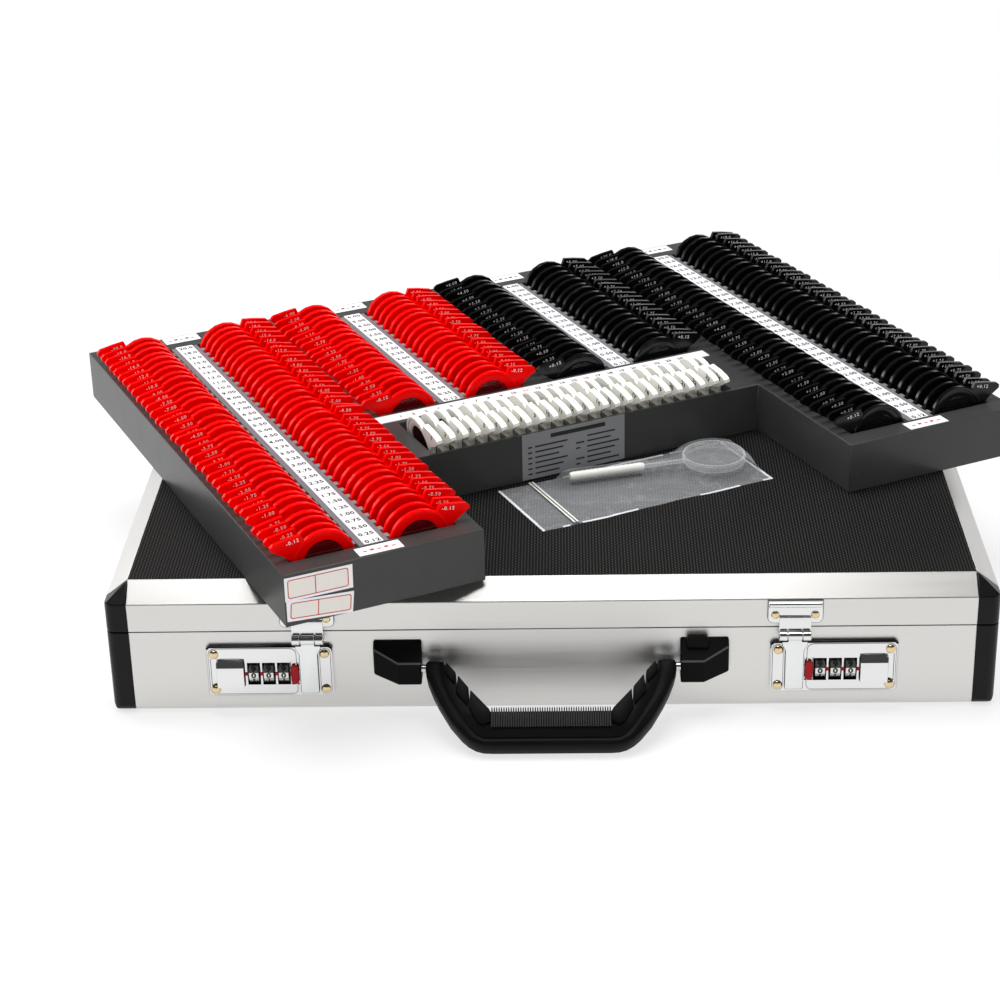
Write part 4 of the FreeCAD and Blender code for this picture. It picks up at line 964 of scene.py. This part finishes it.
# Slot teeth beside the label rails and along the crosswise row
teeth = {
    "railLeft": -9.6, "railRight": 8.9, "width": 3.0, "length": 4.6, "low": 27, "high": 31.9,
    "combFront": 112.4, "combBack": 121.5, "combWidth": 4.6, "combLow": 26.9, "combTop": 32.5, "combEdge": 0.5,
}


def slotTeeth(spec):
    shape = bmesh.new()
    for k, strip, places, powers in stripRows():
        for place in places[:-1]:
            y = place + columns["pitch"] / 2
            for left in (strip + spec["railLeft"] - spec["width"], strip + spec["railRight"]):
                block(shape, (left, y - spec["length"] / 2, spec["low"]),
                      (left + spec["width"], y + spec["length"] / 2, spec["high"]))
    half = spec["combWidth"] / 2
    for x in crossPlaces(0.5)[:-1]:
        verts = block(shape, (x - half, spec["combFront"], spec["combLow"]),
                      (x + half, spec["combBack"], spec["combTop"]), 1)
        easeEdges(shape, verts, spec["combEdge"])
    bmesh.ops.transform(shape, matrix=toTray, verts=shape.verts)
    finishPiece("slotTeeth", shape, "tray", [toothGrey, combGrey], 40)


slotTeeth(teeth)

# Labels on the tray: all are ruled only
labels = {
    "stickers": [[(0.4, 16.2), (41.5, 15.8), (41.7, 30.6), (0.4, 31.0)],
                 [(0.9, 3.5), (40.5, 0.2), (41.9, 13.4), (0.9, 16.6)]],
    "fieldCorner": 1.4, "field": (1.8, 1.7, 38.4, 1.6), "frame": (1.6, 1.5, 38.6, 1.4), "frameWidth": 0.6,
    "divider": (18.2, 18.8),
    "frontTags": [(47.5, 2, 75, 12), (420.5, 2, 449, 12)], "tagsTop": 32.8,
    "backTags": [(52, 364, 77, 375), (177, 364, 202, 375), (302, 364, 327, 375), (427, 364, 452, 375)],
    "certificate": (202, 1, 275, 32.4), "wall": 110.3, "rows": 6, "rowPitch": 3.7, "rowHeight": 1.1,
    "rowWords": ((4, 7), (9, 32), (38, 44), (46, 69)), "paper": 0.22, "ink": 0.05,
}


def paperTag(shape, matrix, corners, index):
    tag = bmesh.new()
    slab(tag, corners, (0, 0, labels["paper"]), index)
    stamp(shape, keepMesh(tag, "tag"), matrix)


def inkBar(shape, matrix, left, low, right, high, index):
    bar = bmesh.new()
    block(bar, (left, low, labels["paper"]), (right, high, labels["paper"] + labels["ink"]), index)
    stamp(shape, keepMesh(bar, "bar"), matrix)


def ruledFrame(height, spec):
    shape = bmesh.new()
    left, low, right, inset = spec["field"]
    slab(shape, rounded(left, low, right, height - inset, spec["fieldCorner"]), (0, 0, 0.02), 0)
    left, low, right, inset = spec["frame"]
    frameLine(shape, rounded(left, low, right, height - inset, left), spec["frameWidth"], spec["ink"], 1)
    start, end = spec["divider"]
    block(shape, (start, low, 0), (end, height - inset, spec["ink"]), 1)
    return keepMesh(shape, "frame")


def trayLabels(spec):
    shape = bmesh.new()
    front = toTray @ standUp
    for corners in spec["stickers"]:
        paperTag(shape, front, [(x, y, 0) for x, y in corners], 3)
        (x0, y0), (x1, y1), upper, (x3, y3) = corners
        tilt = Matrix.Rotation(math.atan2(y1 - y0, x1 - x0), 4, "Z")
        stamp(shape, ruledFrame(y3 - y0, spec), front @ move(x0, y0, spec["paper"]) @ tilt)
    flat = toTray @ move(0, 0, spec["tagsTop"])
    for k, (left, low, right, high) in enumerate(spec["frontTags"] + spec["backTags"]):
        paperTag(shape, flat, panel(left, low, right, high), 3)
        middle = (low + high) / 2
        for j in range(5):  # short bars, tall and half tall in turn
            x = left + (right - left) * (0.18 + 0.16 * j)
            inkBar(shape, flat, x - 1.2, middle - 1.1, x + 1.2, middle + 1.1 * (j % 2), 1 if k < 2 else 2)
    wall = toTray @ onWall(spec["wall"])
    left, low, right, high = spec["certificate"]
    paperTag(shape, wall, panel(left, low, right, high), 4)
    inkBar(shape, wall, left + 20, high - 5.4, right - 14, high - 2.6, 2)
    for row in range(spec["rows"]):
        y = high - 10 - row * spec["rowPitch"]
        for start, end in spec["rowWords"]:
            short = 3 * ((row + start) % 3) if end > 20 else 0
            inkBar(shape, wall, left + start, y, left + end - short, y + spec["rowHeight"], 2)
    finishPiece("trayLabels", shape, "tray", [paperCream, inkRed, inkBlack, paperWhite, paperSilver], 40)


trayLabels(labels)
print("labels stuck on")

# Hand lens, and the clear zip bag that it lies in
handLens = {
    "centre": (322, 76.6, 5.6), "turn": 170, "rim": 20.5, "rimWidth": 1.6, "rimHalf": 2.6, "glassHalf": 1.9,
    "shaftEnd": 47.5, "shaftRadius": 1.4, "rodEnd": 96.5, "rodRadius": 2.9,
    "grooves": 34, "grooveDepth": 0.22, "endEase": 0.6,
}
zipBag = {
    "left": 182, "right": 344, "front": 40, "back": 105, "across": 96, "along": 40,
    "zip": 203, "ridges": (0, 2.2), "ridgeWidth": 1.3, "ridgeEnd": 0.6, "ridgeFrom": 1.4, "ridgeRise": 0.7,
    "underside": 0.3, "lowest": 0.5, "overLens": 8.75, "overRod": 8.9, "overShaft": 7.4, "slope": 13,
    "aboutLens": 0.4, "aboutRod": 3.4, "aboutShaft": 1.8, "wrinkle": 0.55, "wave": 1.1, "seam": 0.9,
}


def handPieces(spec):
    place = toTray @ move(*spec["centre"]) @ turn(spec["turn"], "Z")
    outer, inner, half = spec["rim"], spec["rim"] - spec["rimWidth"], spec["rimHalf"]
    shape = bmesh.new()
    turned(shape, bothWays([(inner, 0.3 - half), (inner + 0.3, -half), (outer - 0.6, -half),
                            (outer, 0.8 - half)]), 64, 1)
    shaft = bmesh.new()
    low, high, radius = outer - 0.5, spec["shaftEnd"] + 1, spec["shaftRadius"]
    turned(shaft, [(0.01, low), (radius, low), (radius, high), (0.01, high)], 16, 1)
    start, end, count = spec["shaftEnd"], spec["rodEnd"], spec["grooves"]
    rings = []
    for k in range(count + 1):  # fine turned grooves along the rod
        cut = (spec["grooveDepth"] if k % 2 else 0.0, spec["endEase"] if k in (0, count) else 0)
        rings.append((spec["rodRadius"] - cut[0] - cut[1], start + (end - start) * k / count))
    turned(shaft, [(0.01, start)] + rings + [(0.01, end)], 20, 0)
    stamp(shape, keepMesh(shaft, "rod"), turn(90, "Y"))
    faceOut(shape, place)
    finishPiece("handLensFrame", shape, "hand_lens", [handWhite, handClear], 50, ["hand_lens_handle"])
    shape = bmesh.new()
    thick = spec["glassHalf"]
    turned(shape, bothWays([(0.01, -thick), (inner * 0.5, -thick * 0.85), (inner * 0.85, -thick * 0.5),
                            (inner - 0.1, -0.5)]), 48)
    faceOut(shape, place)
    finishPiece("handLensGlass", shape, "hand_lens", [handGlass], 50, ["hand_lens_glass"])


def ease(low, high, value):  # 1 below low, 0 above high, smooth between them
    t = min(1, max(0, (value - low) / (high - low)))
    return 1 - t * t * (3 - 2 * t)


def rimDistance(x, y, spec):
    return min(x - spec["left"], spec["right"] - x, y - spec["front"], spec["back"] - y)


def filmHeight(x, y, spec):
    centre = Vector(handLens["centre"][:2])
    way = Vector((math.cos(math.radians(handLens["turn"])), math.sin(math.radians(handLens["turn"]))))
    apart = Vector((x, y)) - centre
    edge = handLens["rim"]
    over = ease(edge + spec["aboutLens"], edge + spec["slope"], apart.length)
    over *= spec["overLens"] - spec["lowest"]
    reach = min(handLens["rodEnd"], max(0, apart.dot(way)))
    away = (apart - way * reach).length
    part = "Rod" if reach > handLens["shaftEnd"] - 3 else "Shaft"
    tall = spec["over" + part] - spec["lowest"]
    over = max(over, ease(spec["about" + part], spec["slope"], away) * tall)
    rim = rimDistance(x, y, spec)
    pinned = 1 - ease(0, 9, rim)
    ripple = noise.noise(Vector((x * 0.11, y * 0.16, 3.1)))
    ripple += 0.5 * noise.noise(Vector((x * 0.34, y * 0.3, 9.2)))
    rough = abs(ripple) * spec["wrinkle"] * (0.35 + 1.6 * pinned)
    return spec["lowest"] + over * min(1, rim / 3 + 0.15) + rough


def clearBag(spec):
    shape = bmesh.new()
    for layer in (0, 1):
        made = bmesh.ops.create_grid(shape, x_segments=spec["across"], y_segments=spec["along"], size=0.5)
        for vert in made["verts"]:
            u, v = vert.co.x + 0.5, vert.co.y + 0.5
            x = spec["left"] + u * (spec["right"] - spec["left"])
            y = spec["front"] + v * (spec["back"] - spec["front"])
            z = filmHeight(x, y, spec) if layer else spec["underside"]
            wave = noise.noise(Vector((x * 0.06, v * 2, 5.5)))
            vert.co = (x, y + wave * spec["wave"] * (2 * v - 1), z)
    for face in shape.faces:
        middle = face.calc_center_median()
        if rimDistance(middle.x, middle.y, spec) < spec["seam"]:
            face.material_index = 1
    low, high = spec["front"] + spec["ridgeEnd"], spec["back"] - spec["ridgeEnd"]
    for shift in spec["ridges"]:
        left = spec["zip"] + shift
        corners = panel(left, low, left + spec["ridgeWidth"], high, spec["ridgeFrom"])
        easeEdges(shape, slab(shape, corners, (0, 0, spec["ridgeRise"]), 2), 0.25, 1)
    bmesh.ops.transform(shape, matrix=toTray, verts=shape.verts)
    finishPiece("zipBagFilm", shape, "zip_bag", [film, filmEdge, handWhite], 60, ["zip_bag"])


handPieces(handLens)
clearBag(zipBag)
print("bag and hand lens laid out")

# Studio
studio = {
    "world": 0.66, "skyLow": 0.12, "skyHigh": 0.38, "overhead": 0.06, "floor": (0.93, 0.93, 0.93),
    "floorSize": 14, "floorDrop": -0.0004, "floorGlow": 0.68, "fadeFrom": 0.3, "fadeTo": 0.7,
    "lamps": [("key", (-0.15, 0.1, 1.9), (0, 0.05, 0.05), 1.2, 30),
              ("side", (-1.1, 0.45, 0.55), (-0.25, 0.0, 0.1), 0.5, 4)],
}


def addLamp(name, place, target, size, power):
    lamp = bpy.data.lights.new(name, "AREA")
    lamp.size = size
    lamp.energy = power
    holder = addObject(name, lamp)
    holder.location = place
    aim = Vector(target) - Vector(place)
    holder.rotation_euler = aim.to_track_quat("-Z", "Y").to_euler()


def fromTo(value, low, high):  # 0 below low, 1 above high
    return ((value - low) / (high - low)).atLeast(0.0).atMost(1.0)


def addWorld(spec):
    world = bpy.data.worlds.new("studioWorld")
    bpy.context.scene.world = world
    sky = Nodes(world)
    background = sky.tree.nodes["Background"]
    background.inputs["Color"].default_value = (1, 1, 1, 1)
    seen, glossy, through = sky.rays()
    where = sky.node("ShaderNodeTexCoord", out="Generated")
    height = sky.node("ShaderNodeSeparateXYZ", values={0: where}, out=2)
    # mirrors see a dark ceiling above the pale backdrop
    mirrored = 1 - fromTo(height, spec["skyLow"], spec["skyHigh"]) * (1 - spec["overhead"])
    plain = 1 - seen.atLeast(glossy).atLeast(through)
    strength = seen.atLeast(through) + glossy * mirrored + plain * spec["world"]
    join(sky.tree, strength, background.inputs["Strength"])


def addFloor(spec):
    shape = bmesh.new()
    bmesh.ops.create_grid(shape, x_segments=1, y_segments=1, size=spec["floorSize"])
    mesh = bpy.data.meshes.new("floor")
    shape.to_mesh(mesh)
    shape.free()
    floor = addObject("floor", mesh)
    floor.location.z = spec["floorDrop"]
    finish = Finish("floor", spec["floor"], 0.9)
    x, y, z = finish.axes()
    fade = fromTo((x * x + y * y).maths("SQRT"), spec["fadeFrom"], spec["fadeTo"])
    seen, glossy, through = finish.rays()
    glow = fade * (1 - spec["floorGlow"]) + spec["floorGlow"]
    mix = finish.node("ShaderNodeMixShader", values={
        0: seen.atLeast(glossy).atLeast(through) * glow,
        1: Value(finish.tree, finish.shader.outputs[0]),
        2: finish.node("ShaderNodeEmission"),
    })
    join(finish.tree, mix, finish.tree.nodes["Material Output"].inputs[0])
    mesh.materials.append(finish.material)


addWorld(studio)
for lamp in studio["lamps"]:
    addLamp(*lamp)
addFloor(studio)
bpy.context.scene.view_settings.view_transform = "Standard"
print("studio lit")
